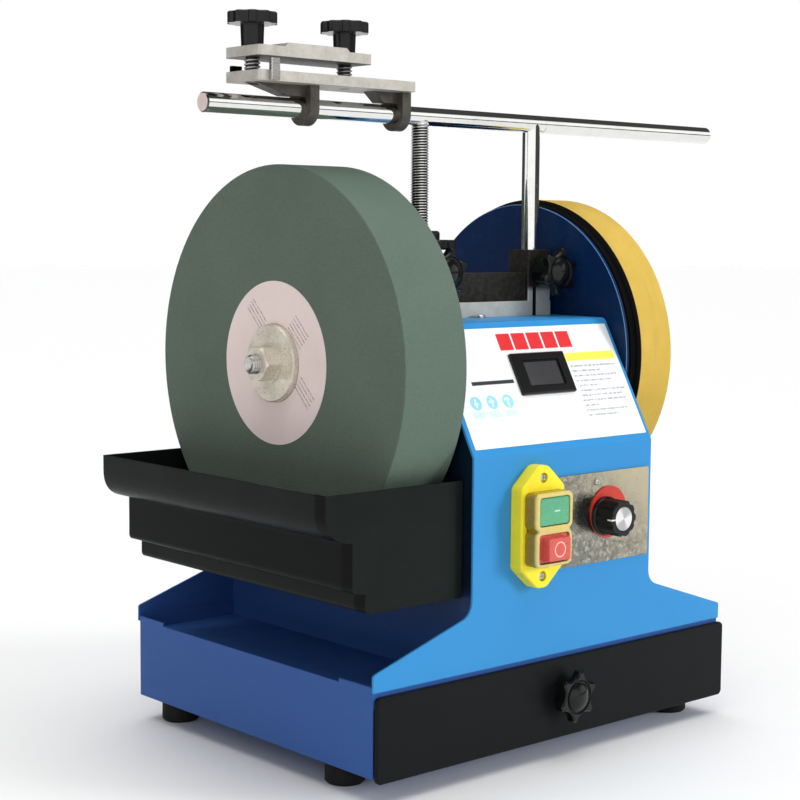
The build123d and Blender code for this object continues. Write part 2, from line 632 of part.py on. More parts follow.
def switch_plate():
    """The yellow moulded plate: straight flanks that narrow to rounded ends with screws."""
    half_w = SWITCH_W / 2
    half_h = SWITCH_H / 2
    flank = SWITCH_FLANK / 2
    apex = SWITCH_APEX / 2
    corners = [
        (-half_w, -flank), (-apex, -half_h), (apex, -half_h), (half_w, -flank),
        (half_w, flank), (apex, half_h), (-apex, half_h), (-half_w, flank),
    ]
    face = make_face(Polyline(*corners, close=True))
    face = fillet([v for v in face.vertices() if abs(v.Y) > flank + 1], 6.5)
    face = fillet([v for v in face.vertices() if abs(abs(v.X) - half_w) < 0.01], 5.0)
    plate = facing_front(Pos(SWITCH_X, SWITCH_Z) * face, (FRONT_Y - SWITCH_T, FRONT_Y))
    plate = fillet(plate.edges().group_by(Axis.Y)[0], 1.6)
    for side in (-1, 1):
        z = SWITCH_Z + side * SWITCH_SCREW_UP
        plate -= rod_y(3.2, SWITCH_X, (FRONT_Y - SWITCH_T - 1, FRONT_Y - SWITCH_T + 2.6), z)
    plate -= block((SWITCH_X - 14.5, SWITCH_X + 14.5), (FRONT_Y - 20, FRONT_Y + 5), (131.0, 175.0))
    return plate


def switch_boot():
    """A soft collar round both buttons, with a waist between them."""
    upper = Pos(SWITCH_X, START_Z) * RectangleRounded(33.0, 23.2, 4.0)
    lower = Pos(SWITCH_X, STOP_Z) * RectangleRounded(32.2, 22.6, 4.0)
    waist = Pos(SWITCH_X, (START_Z + STOP_Z) / 2) * Rectangle(28, 12)
    boot = facing_front(upper + lower + waist, BOOT_Y)
    boot = fillet(boot.edges().group_by(Axis.Y)[0], 1.6)
    for z, size in ((START_Z, START_SIZE), (STOP_Z, STOP_SKIRT)):
        hole = Pos(SWITCH_X, z) * RectangleRounded(size[0] + 0.9, size[1] + 0.9, 2.2)
        boot -= facing_front(hole, (BOOT_Y[0] - 5, BOOT_Y[1] + 5))
    return boot


def switch_body():
    """The switch behind the panel, bored for the two buttons' stems."""
    body = block((SWITCH_X - 14.2, SWITCH_X + 14.2), (FRONT_Y - 1.0, FRONT_Y + 24), (131.3, 174.7))
    for z in (START_Z, STOP_Z):
        body -= block((SWITCH_X - 5, SWITCH_X + 5), (FRONT_Y - 5, FRONT_Y + 12), (z - 4, z + 4))
    return body


def button_cap(size, z, y, corner):
    cap = facing_front(Pos(SWITCH_X, z) * RectangleRounded(size[0], size[1], corner), y)
    return fillet(cap.edges().group_by(Axis.Y)[0], 0.7)


def button_stem(z):
    return block((SWITCH_X - 4, SWITCH_X + 4), (BUTTON_BACK_Y - 0.5, -118.0), (z - 3, z + 3))


def start_button():
    return button_cap(START_SIZE, START_Z, (START_FACE_Y, BUTTON_BACK_Y), 2.0) + button_stem(START_Z)


def stop_button():
    """A broad skirt flush with the boot and a smaller block standing out of it."""
    skirt = button_cap(STOP_SKIRT, STOP_Z, (STOP_SKIRT_Y, BUTTON_BACK_Y), 2.0)
    raised = button_cap(STOP_SIZE, STOP_Z, (STOP_FACE_Y, STOP_SKIRT_Y + 1), 1.2)
    return skirt + raised + button_stem(STOP_Z)


def dial_plate():
    width = PLATE_X[1] - PLATE_X[0]
    height = PLATE_Z[1] - PLATE_Z[0]
    centre = Pos(sum(PLATE_X) / 2, sum(PLATE_Z) / 2)
    plate = facing_front(centre * RectangleRounded(width, height, 2.0), (FRONT_Y - 1.2, FRONT_Y))
    return plate - rod_y(4.6, KNOB_X, (FRONT_Y - 5, FRONT_Y + 5), KNOB_Z)


def dial_disc():
    disc = rod_y(DIAL_R, DIAL[0], (FRONT_Y - 2.2, FRONT_Y - 1.2), DIAL[1])
    return disc - rod_y(4.6, KNOB_X, (FRONT_Y - 5, FRONT_Y + 5), KNOB_Z)


def potentiometer():
    can = rod_y(8.5, KNOB_X, (FRONT_Y + SHEET, FRONT_Y + 12), KNOB_Z)
    neck = rod_y(4.5, KNOB_X, (FRONT_Y - 4.0, FRONT_Y + 3), KNOB_Z)
    return can + neck - rod_y(3.0 + FIT, KNOB_X, (FRONT_Y - 6, FRONT_Y + 9), KNOB_Z)


def speed_knob():
    """A scalloped knob with a skirt, bored for the control's shaft."""
    sketch = Sketch() + Circle(SPEED_KNOB_R)
    for angle in spread(10, 18.0):
        sketch -= Rot(0, 0, angle) * Pos(SPEED_KNOB_R + 1.6, 0) * Circle(2.6)
    grip = fillet(sketch.vertices(), 0.7)
    axis = Pos(KNOB_X, KNOB_Z)
    knob = facing_front(axis * grip, (SPEED_KNOB_Y[0], SPEED_KNOB_Y[1] - 2))
    knob = chamfer(knob.edges().group_by(Axis.Y)[0], 0.4)
    skirt = facing_front(axis * Circle(SPEED_KNOB_R + 0.9), (SPEED_KNOB_Y[1] - 2.8, SPEED_KNOB_Y[1]))
    knob += chamfer(skirt.edges().group_by(Axis.Y)[0], 0.7)
    knob -= rod_y(5.2, KNOB_X, (SPEED_KNOB_Y[1] - 3.5, SPEED_KNOB_Y[1] + 1), KNOB_Z)
    knob -= rod_y(7.9, KNOB_X, (SPEED_KNOB_Y[0] - 1, SPEED_KNOB_Y[0] + 0.8), KNOB_Z)
    return knob - rod_y(3.0, KNOB_X, (SPEED_KNOB_Y[0] + 3, SPEED_KNOB_Y[1] + 1), KNOB_Z)


def speed_knob_cap():
    cap = rod_y(7.8, KNOB_X, (SPEED_KNOB_Y[0] - 0.1, SPEED_KNOB_Y[0] + 0.8), KNOB_Z)
    return chamfer(cap.edges().group_by(Axis.Y)[0], 0.3)


def speed_knob_shaft():
    return rod_y(3.0, KNOB_X, (SPEED_KNOB_Y[0] + 3, FRONT_Y + 8), KNOB_Z)


def control_boards():
    """The motor's speed controller behind the front cover, and the display's board."""
    display = on_slope(SCREEN_X, SCREEN_S, -5.2) * Box(60, 34, 1.6)
    display += on_slope(SCREEN_X, SCREEN_S, -9) * Box(40, 22, 6.5)
    board = block((-80, 40), (-96, -94.4), (70, 118))
    for x, width, height in ((-66, 18, 24), (-40, 14, 16), (-14, 22, 28), (18, 24, 18)):
        board += block((x - width / 2, x + width / 2), (-94.5, -82), (78, 78 + height))
    for x in (-74, 34):
        board += block((x - 4, x + 4), (-97, -92), (DECK_TOP, 72))
    return [board, display]


# ================================================================ tool support
def support_block():
    """The cast block: a flange, two uprights bored for the legs and a web between them."""
    ends = (LEG_X[0] - UPRIGHT_HALF, LEG_X[1] + UPRIGHT_HALF)
    cast = block(ends, (BLOCK_Y[0], BLOCK_Y[1] + 6), (TOP_Z, TOP_Z + FLANGE_T))
    cast += block(ends, (BLOCK_Y[0] + 3.2, BLOCK_Y[1] - 2), (TOP_Z, TOP_Z + 29.5))
    for x in LEG_X:
        upright = block((x - UPRIGHT_HALF, x + UPRIGHT_HALF), BLOCK_Y, (TOP_Z, BLOCK_TOP))
        upright = fillet(upright.edges().filter_by(Axis.Z), 1.2)
        cast += upright
    for x in LEG_X:
        cast -= rod_z(ROD_R + FIT, x, BAR_Y, (TOP_Z - 5, BLOCK_TOP + 5))
        cast -= rod_y(4.0 + FIT, x, (BLOCK_Y[0] - 5, BAR_Y), CLAMP_Z)
        slot_x = (x + CLAMP_SLOT[0], x + CLAMP_SLOT[1])
        cast -= block(slot_x, (BLOCK_Y[0] - 5, BAR_Y), (TOP_Z - 1, CLAMP_Z - 10.4))
    for x in BLOCK_BOLT_X:
        cast -= rod_z(3.2, x, BLOCK_Y[1] + 2, (TOP_Z - 1, TOP_Z + 20))
    return cast


def block_bolts():
    """Cap screws behind the web and one pan-head screw in front of the flange."""
    bolts = []
    for x in BLOCK_BOLT_X:
        shank = rod_z(2.7, x, BLOCK_Y[1] + 2, (TOP_Z - 8, TOP_Z + FLANGE_T + 1))
        bolts.append(shank + rod_z(3.9, x, BLOCK_Y[1] + 2, (TOP_Z + FLANGE_T, TOP_Z + FLANGE_T + 4)))
    bolts.append(Pos(-18.0, BLOCK_Y[0] - 5, TOP_Z) * pan_screw(3.4, 2.2))
    return bolts


def support_bar():
    bar = rod_x(ROD_R, (-BAR_HALF, BAR_HALF), BAR_Y, BAR_Z)
    bar = chamfer(bar.edges().filter_by(GeomType.CIRCLE), 0.8)
    mark_x = (BAR_MARK_X - 0.3, BAR_MARK_X + 0.3)
    return bar - (rod_x(ROD_R + 1, mark_x, BAR_Y, BAR_Z) - rod_x(ROD_R - 0.2, mark_x, BAR_Y, BAR_Z))


def support_leg(x):
    leg = rod_z(ROD_R, x, BAR_Y, (LEG_FOOT_Z, BAR_Z))
    leg = chamfer(leg.edges().group_by(Axis.Z)[0], 1.0)
    return leg - rod_x(ROD_R, (x - 20, x + 20), BAR_Y, BAR_Z)


def threaded_leg():
    return support_leg(LEG_X[0])


def plain_leg():
    return support_leg(LEG_X[1])


def adjusting_nut():
    rim = lobed_disc(24.0, 2.6, 8, 6.4, 2.0)
    hub = fillet(Cylinder(13.5, 12.2).edges().group_by(Axis.Z)[-1], 2.0)
    nut = rim + Pos(0, 0, 6.1) * hub
    nut -= Cylinder(ROD_R + FIT, 60)
    return Pos(LEG_X[0], BAR_Y, BLOCK_TOP + 0.1) * nut


def clamp_knob(x):
    """A star knob whose threaded stem presses on the leg."""
    knob = Rot(90, 0, 0) * star_knob(CLAMP_R, 5.6, 10.5, 12.2)
    stem = rod_y(4.0, x, (CLAMP_SEAT_Y - 1, BAR_Y - ROD_R - 0.3), CLAMP_Z)
    return Pos(x, CLAMP_SEAT_Y, CLAMP_Z) * knob + stem


# ================================================================ clamping jig
def jig_plate():
    """The lower plate with its two lugs round the bar, each with a rib on its left."""
    plate = block(JIG_PLATE_X, JIG_Y, JIG_PLATE_Z)
    plate = chamfer(plate.edges().filter_by(Axis.Z), JIG_CORNER)
    for x, rib_x in zip(LUG_X, RIB_X):
        lug = rod_x(LUG_R, x, BAR_Y, BAR_Z)
        lug += block(x, (BAR_Y - LUG_R, BAR_Y + LUG_R), (BAR_Z, JIG_PLATE_Z[0]))
        corners = [(rib_x[0], JIG_PLATE_Z[0] + 0.5), (rib_x[1], RIB_Z), (x[0] + 0.5, RIB_Z)]
        corners.append((x[0] + 0.5, JIG_PLATE_Z[0] + 0.5))
        rib = make_face(Polyline(*corners, close=True))
        plate += lug + facing_front(rib, (BAR_Y - RIB_HALF, BAR_Y + RIB_HALF))
    for x in LUG_X:
        plate -= rod_x(BUSH_R + FIT, (x[0] - 1, x[1] + 1), BAR_Y, BAR_Z)
    for x in JIG_KNOB_X:
        plate -= rod_z(JIG_STUD_R + FIT, x, BAR_Y, (RIB_Z - 1, JIG_PLATE_Z[1] + 1))
    return plate


def jig_bushes():
    """Plain bushes that slide along the bar inside the lugs."""
    bushes = []
    for x in LUG_X:
        bush = rod_x(BUSH_R, x, BAR_Y, BAR_Z)
        bushes.append(bush - rod_x(ROD_R + FIT, (x[0] - 1, x[1] + 1), BAR_Y, BAR_Z))
    return bushes


def jig_jaw():
    """The upper plate, thicker between the two knobs."""
    jaw = block(JAW_X, JAW_Y, JAW_Z)
    jaw = chamfer(jaw.edges().filter_by(Axis.Z), JIG_CORNER)
    ridge = block(JAW_RIDGE_X, JAW_Y, (JAW_Z[1] - 1, JAW_Z[1] + JAW_RIDGE))
    upper_ends = ridge.edges().filter_by(Axis.Y).group_by(Axis.Z)[-1]
    jaw += chamfer(upper_ends, JAW_RIDGE - 0.1)
    for x in JIG_KNOB_X:
        jaw -= rod_z(JIG_STUD_R + 0.4, x, BAR_Y, (JAW_Z[0] - 1, JAW_Z[1] + 1))
    return jaw


def jig_fittings():
    """The front stop tab and the heel pad on the lower plate."""
    tab = block((-194.8, -188.5), (JIG_Y[0] - 3.2, JIG_Y[0]), (JIG_PLATE_Z[0] + 0.3, JAW_Z[0] - 1.4))
    tab = fillet(tab.edges().filter_by(Axis.Z), 0.6)
    heel = block((-200.4, -193.6), (-12.2, -9.0), (JIG_PLATE_Z[1], JIG_PLATE_Z[1] + 3.6))
    return [tab, heel]


def jig_springs():
    springs = []
    for x in JIG_KNOB_X:
        sleeve = rod_z(4.9, x, BAR_Y, (JIG_PLATE_Z[1], JAW_Z[0]))
        springs.append(sleeve - rod_z(4.2, x, BAR_Y, (JIG_PLATE_Z[1] - 1, JAW_Z[0] + 1)))
    return springs


def jig_knob(x):
    """A fluted clamp knob with its threaded stud."""
    seat = JAW_Z[1] + 0.1
    sketch = Sketch() + Circle(15.2)
    for angle in spread(10):
        sketch -= Rot(0, 0, angle) * Pos(17.6, 0) * Circle(4.0)
    head = extrude(fillet(sketch.vertices(), 1.2), amount=6.9)
    head = chamfer(head.edges().group_by(Axis.Z)[-1], 0.7)
    hub = Pos(0, 0, 6.8) * Cone(6.7, 7.2, 13.6)
    knob = Pos(0, 0, 13.1) * head + hub
    stud = rod_z(JIG_STUD_R, x, BAR_Y, (JIG_PLATE_Z[0] + 0.6, seat + 1))
    return Pos(x, BAR_Y, seat) * knob + stud


# ================================================================ write the nodes
def nodes():
    return {
        "base_shell": base_shell(),
        "deck_plate": deck_plate(),
        "rubber_feet": rubber_feet(),
        "drawer_runners": drawer_runners(),
        "front_cover": front_cover(),
        "rear_cover": rear_cover(),
        "housing_left": housing_left(),
        "housing_right": housing_right(),
        "shaft_bearings": shaft_bearings(),
        "cable_gland": cable_gland(),
        "case_screws": case_screws(),
        "motor_case": motor_case(),
        "motor_cradle": motor_cradle(),
        "motor_bolts": motor_bolts(),
        "motor_shaft": motor_shaft(),
        "wheel_shaft": wheel_shaft(),
        "grinding_stone": grinding_stone(),
        "stone_label": stone_label(),
        "stone_flanges": stone_flanges(),
        "stone_nut": stone_nut(),
        "drive_disc": drive_disc(),
        "drive_tyre": drive_tyre(),
        "honing_core": honing_core(),
        "honing_leather": honing_leather(),
        "honing_nut": honing_nut(),
        "water_tray": water_tray(),
        "tray_studs": tray_studs(),
        "drawer_front": drawer_front(),
        "drawer_box": drawer_box(),
        "drawer_knob": drawer_knob(),
        "control_sheet": control_sheet(),
        "display_bezel": display_bezel(),
        "display_screen": display_screen(),
        "switch_plate": switch_plate(),
        "switch_boot": switch_boot(),
        "switch_body": switch_body(),
        "start_button": start_button(),
        "stop_button": stop_button(),
        "dial_plate": dial_plate(),
        "dial_disc": dial_disc(),
        "potentiometer": potentiometer(),
        "speed_knob": speed_knob(),
        "speed_knob_cap": speed_knob_cap(),
        "speed_knob_shaft": speed_knob_shaft(),
        "control_boards": control_boards(),
        "support_block": support_block(),
        "block_bolts": block_bolts(),
        "support_bar": support_bar(),
        "threaded_leg": threaded_leg(),
        "plain_leg": plain_leg(),
        "adjusting_nut": adjusting_nut(),
        "clamp_knob_left": clamp_knob(LEG_X[0]),
        "clamp_knob_right": clamp_knob(LEG_X[1]),
        "jig_plate": jig_plate(),
        "jig_bushes": jig_bushes(),
        "jig_jaw": jig_jaw(),
        "jig_fittings": jig_fittings(),
        "jig_springs": jig_springs(),
        "jig_knob_left": jig_knob(JIG_KNOB_X[0]),
        "jig_knob_right": jig_knob(JIG_KNOB_X[1]),
    }


os.makedirs("parts", exist_ok=True)
for name, shape in nodes().items():
    if isinstance(shape, list):
        shape = Compound(children=shape)
    shape.label = name
    export_step(shape, "parts/" + name + ".step")
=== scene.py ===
import json
import math

import bmesh
import bpy
from mathutils import Matrix, Vector


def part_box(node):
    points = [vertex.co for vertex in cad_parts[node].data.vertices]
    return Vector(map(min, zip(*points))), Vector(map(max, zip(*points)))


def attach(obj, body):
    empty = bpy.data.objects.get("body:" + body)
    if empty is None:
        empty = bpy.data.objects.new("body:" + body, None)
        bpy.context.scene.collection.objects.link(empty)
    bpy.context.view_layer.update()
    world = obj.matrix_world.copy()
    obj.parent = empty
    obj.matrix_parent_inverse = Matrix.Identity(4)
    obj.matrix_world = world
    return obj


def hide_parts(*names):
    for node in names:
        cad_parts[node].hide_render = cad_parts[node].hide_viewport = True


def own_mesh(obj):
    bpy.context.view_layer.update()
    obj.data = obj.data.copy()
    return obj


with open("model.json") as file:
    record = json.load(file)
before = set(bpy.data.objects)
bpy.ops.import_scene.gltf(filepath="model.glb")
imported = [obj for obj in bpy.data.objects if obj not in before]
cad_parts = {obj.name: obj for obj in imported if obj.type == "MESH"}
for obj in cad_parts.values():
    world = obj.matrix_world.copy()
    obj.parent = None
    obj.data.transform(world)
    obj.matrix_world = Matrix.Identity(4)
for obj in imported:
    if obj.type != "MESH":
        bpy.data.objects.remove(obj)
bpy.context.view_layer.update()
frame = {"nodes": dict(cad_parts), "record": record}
NODES = frame["nodes"]
MM = 0.001


# ---------------------------------------------------------------- places read from the frame
def middle(node):
    low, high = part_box(node)
    return (low + high) / 2


SHAFT = middle("wheel_shaft")
STONE_LOW, STONE_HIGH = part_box("grinding_stone")
STONE_R = (STONE_HIGH.z - STONE_LOW.z) / 2
BAR_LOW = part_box("support_bar")[0]
BAR = middle("support_bar")
LEG = middle("threaded_leg")


# ---------------------------------------------------------------- material helpers
class Look:
    """A Principled material whose coordinates are metres in the row frame."""

    def __init__(self, name, base, rough, **constants):
        self.mat = bpy.data.materials.new(name)
        self.mat.use_nodes = True
        self.nodes = self.mat.node_tree.nodes
        self.links = self.mat.node_tree.links
        self.bsdf = self.nodes["Principled BSDF"]
        self.base = base
        self.bsdf.inputs["Base Color"].default_value = (*base, 1)
        self.bsdf.inputs["Roughness"].default_value = rough
        for socket, value in constants.items():
            self.bsdf.inputs[socket.replace("_", " ")].default_value = value
        self.coords = self.nodes.new("ShaderNodeTexCoord").outputs["Object"]
        self.normal = None

    def node(self, kind, inputs=(), **settings):
        made = self.nodes.new("ShaderNode" + kind)
        for key, value in settings.items():
            setattr(made, key, value)
        for socket, value in dict(inputs).items():
            if isinstance(value, bpy.types.NodeSocket):
                self.links.new(value, made.inputs[socket])
            else:
                made.inputs[socket].default_value = value
        return made

    def noise(self, scale, detail=4.0, rough=0.55, stretch=(1, 1, 1), distortion=0.0):
        """Noise with scale lumps per metre, stretched along the axes."""
        place = self.node("Mapping", {"Vector": self.coords, "Scale": stretch})
        inputs = {"Vector": place.outputs[0], "Scale": scale, "Detail": detail}
        inputs.update({"Roughness": rough, "Distortion": distortion})
        return self.node("TexNoise", inputs).outputs["Fac"]

    def cells(self, scale):
        """Distance to the nearest cell's middle, with scale cells per metre."""
        return self.node("TexVoronoi", {"Vector": self.coords, "Scale": scale}).outputs["Distance"]

    def span(self, value, low, high, to_low=0.0, to_high=1.0):
        inputs = {"Value": value, "From Min": low, "From Max": high}
        inputs.update({"To Min": to_low, "To Max": to_high})
        return self.node("MapRange", inputs).outputs[0]

    def math(self, operation, a, b=0.0, c=0.0):
        return self.node("Math", {0: a, 1: b, 2: c}, operation=operation).outputs[0]

    def mix(self, factor, a, b):
        """A colour between a and b."""
        mixed = self.node("Mix", {0: factor}, data_type="RGBA")
        for index, colour in ((6, a), (7, b)):
            if isinstance(colour, bpy.types.NodeSocket):
                self.links.new(colour, mixed.inputs[index])
            else:
                mixed.inputs[index].default_value = (*colour, 1)
        return mixed.outputs[2]

    def axis(self, name):
        return self.node("SeparateXYZ", {0: self.coords}).outputs[name]

    def length(self, a, b):
        return self.math("SQRT", self.math("MULTIPLY_ADD", a, a, self.math("MULTIPLY", b, b)))

    def offsets(self, centre, axes):
        """How far a point lies from centre along each of two axes, in metres."""
        at = [getattr(centre, name.lower()) for name in axes]
        return [self.math("SUBTRACT", self.axis(name), place) for name, place in zip(axes, at)]

    def radius(self, centre, axes="YZ"):
        """Distance from the line through centre that is square to both axes, in metres."""
        return self.length(*self.offsets(centre, axes))

    def rings(self, away, rate):
        """Ripples over a distance from an axis, rate radians to the metre."""
        return self.math("SINE", self.math("MULTIPLY", away, rate))

    def between(self, value, low, high, soft):
        """One where value lies from low to high, with soft edges, in the value's own unit."""
        up = self.span(value, low - soft, low + soft)
        down = self.span(value, high - soft, high + soft, 1.0, 0.0)
        return self.math("MULTIPLY", up, down)

    def patch(self, u, v, u_range, v_range, soft):
        """One inside a rectangle of the u and v sockets."""
        return self.math("MULTIPLY", self.between(u, *u_range, soft), self.between(v, *v_range, soft))

    def disc(self, u, v, centre, radius, soft):
        """One inside a disc of the u and v sockets."""
        du = self.math("SUBTRACT", u, centre[0])
        dv = self.math("SUBTRACT", v, centre[1])
        return self.span(self.length(du, dv), radius - soft, radius + soft, 1.0, 0.0)

    def union(self, masks):
        total = masks[0]
        for mask in masks[1:]:
            total = self.math("MAXIMUM", total, mask)
        return total

    def millimetres(self, name, origin):
        """A coordinate in millimetres from an origin in metres."""
        return self.math("MULTIPLY", self.math("SUBTRACT", self.axis(name), origin), 1000.0)

    def face(self, centre):
        """Millimetres to the right of a centre and above it, seen from the front."""
        return self.millimetres("X", centre.x), self.millimetres("Z", centre.z)

    def colour(self, socket):
        self.links.new(socket, self.bsdf.inputs["Base Color"])
        self.base = socket

    def rough(self, socket):
        self.links.new(socket, self.bsdf.inputs["Roughness"])

    def bump(self, height, depth, strength=1.0):
        """Add a bump of about depth metres; calls stack."""
        inputs = {"Height": height, "Distance": depth, "Strength": strength}
        if self.normal is not None:
            inputs["Normal"] = self.normal
        self.normal = self.node("Bump", inputs).outputs[0]
        self.links.new(self.normal, self.bsdf.inputs["Normal"])

    def soften(self, radius):
        """Round the sharp edges in the shading."""
        self.normal = self.node("Bevel", {"Radius": radius}, samples=4).outputs[0]
        self.links.new(self.normal, self.bsdf.inputs["Normal"])

    def edge(self, low=0.02, high=0.18):
        """One along sharp edges, nought on flats: needs soften() first."""
        flat = self.node("NewGeometry").outputs["Normal"]
        across = self.node("VectorMath", {0: self.normal, 1: flat}, operation="DOT_PRODUCT")
        off = self.math("SUBTRACT", 1.0, across.outputs["Value"])
        return self.span(off, low, high)


LOOKS = {}


def look(slot):
    """Register a function as the maker of one slot's material."""
    def keep(make):
        LOOKS[slot] = make()
        return make
    return keep


def powder_coat(name, base, dust, peel=0.00006, **constants):
    """Sprayed and baked paint: orange peel, faint dust, paler edges."""
    settings = {"Specular_IOR_Level": 0.12}
    settings.update(constants)
    paint = Look(name, base, 0.38, **settings)
    paint.soften(0.7 * MM)
    worn = paint.edge(0.02, 0.30)
    cloud = paint.span(paint.noise(14, 3), 0.35, 0.7)
    shade = paint.mix(paint.math("MULTIPLY", cloud, 0.12), base, dust)
    pale = tuple(min(1.0, 1.25 * c + 0.012) for c in base)
    paint.colour(paint.mix(paint.math("MULTIPLY", worn, 0.20), shade, pale))
    paint.rough(paint.span(paint.noise(60, 5), 0.3, 0.75, 0.33, 0.48))
    paint.bump(paint.noise(620, 2), peel, 0.5)
    return paint


FLANK_PAINTED_SHADE_Z = (80 * MM, 120 * MM)      # painted shade: the housing's flanks darken to near black over this height


@look("blue_paint")
def blue_paint():
    """Dark blue; on the housing's flanks, above the deck, painted shade makes it nearly black."""
    paint = powder_coat("blue_paint", (0.036, 0.105, 0.340), (0.048, 0.120, 0.350))
    flanks = []
    for x in (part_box("housing_left")[0].x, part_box("housing_right")[1].x):
        flanks.append(paint.between(paint.axis("X"), x - 1 * MM, x + 1 * MM, 0.5 * MM))
    # painted shade on the housing's flanks, rising to near black above the deck
    high = paint.math("MULTIPLY", paint.union(flanks), paint.span(paint.axis("Z"), *FLANK_PAINTED_SHADE_Z))
    paint.colour(paint.mix(high, paint.base, (0.003, 0.009, 0.020)))
    return paint.mat


@look("light_blue_paint")
def light_blue_paint():
    base, dust = (0.030, 0.262, 0.600), (0.045, 0.280, 0.610)
    return powder_coat("light_blue_paint", base, dust, Specular_IOR_Level=0.25).mat


@look("black_paint")
def black_paint():
    base, dust = (0.0082, 0.0095, 0.0103), (0.0115, 0.0125, 0.0130)
    return powder_coat("black_paint", base, dust, 0.00005, Specular_IOR_Level=0.07).mat


@look("grey_paint")
def grey_paint():
    return powder_coat("grey_paint", (0.11, 0.12, 0.13), (0.16, 0.16, 0.16)).mat


DISC_RIM_HIGHLIGHT_R = (103.0 * MM, 103.1 * MM)    # the painted highlight along the drive disc's rim starts here
DISC_PAINTED_SHADE_Z = (225 * MM, 330 * MM)      # painted shade darkens its lower part over this height


@look("navy_paint")
def navy_paint():
    """Gloss enamel on the drive disc, with a painted highlight along its very edge and painted shade
    on its lower part.
    """
    paint = Look("navy_paint", (0.003, 0.013, 0.050), 0.25, Specular_IOR_Level=0.08)
    away = paint.radius(SHAFT)
    near_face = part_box("drive_disc")[0].x
    front = paint.span(paint.axis("X"), near_face + 0.30 * MM, near_face + 0.45 * MM, 1.0, 0.0)
    # painted highlight: pale blue along the near edge of the rim
    rim = paint.math("MULTIPLY", paint.span(away, *DISC_RIM_HIGHLIGHT_R), front)
    cloud = paint.noise(9, 3)
    base = paint.mix(paint.span(cloud, 0.35, 0.7), (0.0045, 0.0240, 0.085), (0.0058, 0.0300, 0.105))
    # painted shade: darker towards the bottom of the disc
    shade = paint.span(paint.axis("Z"), *DISC_PAINTED_SHADE_Z, 0.75, 0.0)
    base = paint.mix(shade, base, (0.0030, 0.0080, 0.018))
    paint.colour(paint.mix(rim, base, (0.13, 0.27, 0.48)))
    paint.rough(paint.span(paint.noise(80, 4), 0.3, 0.7, 0.18, 0.32))
    paint.bump(paint.noise(420, 2), 0.00003, 0.4)
    return paint.mat


DIRT = (0.25, 0.22, 0.18)


def metal(name, base, rough, grain=(1, 1, 1)):
    """Bare or plated metal: fine grain, cloudy stains, brighter edges."""
    steel = Look(name, base, rough, Metallic=1.0)
    steel.soften(0.35 * MM)
    worn = steel.math("MULTIPLY", steel.edge(), 0.25)
    stain = steel.span(steel.noise(70, 5, 0.65), 0.45, 0.85)
    dull = tuple(b * 0.62 + d * 0.14 for b, d in zip(base, DIRT))
    bright = tuple(min(1.0, 1.3 * b) for b in base)
    tone = steel.mix(steel.math("MULTIPLY", stain, 0.55), base, dull)
    steel.colour(steel.mix(worn, tone, bright))
    grainy = steel.noise(900, 3, 0.6, grain)
    steel.rough(steel.span(grainy, 0.3, 0.75, rough * 0.75, rough * 1.35))
    steel.bump(grainy, 0.000025, 0.5)
    return steel


@look("zinc")
def zinc():
    """Zinc plate with a faint yellow passivate, spun in broad rings about the wheel shaft."""
    base = (0.80, 0.735, 0.62)
    plate = Look("zinc", base, 0.3, Metallic=0.35)
    plate.soften(0.35 * MM)
    worn = plate.math("MULTIPLY", plate.edge(), 0.35)
    stain = plate.span(plate.noise(70, 5, 0.65), 0.42, 0.8)
    tone = plate.mix(stain, base, (0.44, 0.41, 0.35))
    plate.colour(plate.mix(worn, tone, (0.88, 0.84, 0.76)))
    plate.bump(plate.rings(plate.radius(SHAFT), 9000), 0.000012, 0.4)
    grainy = plate.noise(900, 3, 0.6)
    plate.rough(plate.span(grainy, 0.3, 0.75, 0.24, 0.40))
    plate.bump(grainy, 0.00002, 0.5)
    return plate.mat


HEEL_X = (-193.5 * MM, -192.5 * MM)      # the jig's heel pad ends over this width
HEEL_Y = (-13.5 * MM, -12.8 * MM)        # and begins over this depth


@look("steel")
def steel():
    """Turned steel; the jig's heel pad, at the back of its plate, is blackened."""
    bright = metal("steel", (0.50, 0.49, 0.46), 0.26, (0.1, 1, 1))
    jig_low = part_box("jig_fittings")[0].z
    high = bright.span(bright.axis("Z"), jig_low - 1 * MM, jig_low)
    back = bright.span(bright.axis("Y"), *HEEL_Y)
    left = bright.span(bright.axis("X"), *HEEL_X, 1.0, 0.0)
    heel = bright.math("MULTIPLY", bright.math("MULTIPLY", high, back), left)
    bright.colour(bright.mix(heel, bright.base, (0.006, 0.006, 0.006)))
    return bright.mat


@look("screw_steel")
def screw_steel():
    return metal("screw_steel", (0.62, 0.61, 0.58), 0.26).mat


JIG_UNDER_Z = (423.2 * MM, 423.6 * MM)   # underside of the jig's lower plate; below it, dark cast ribs and lugs and painted shade


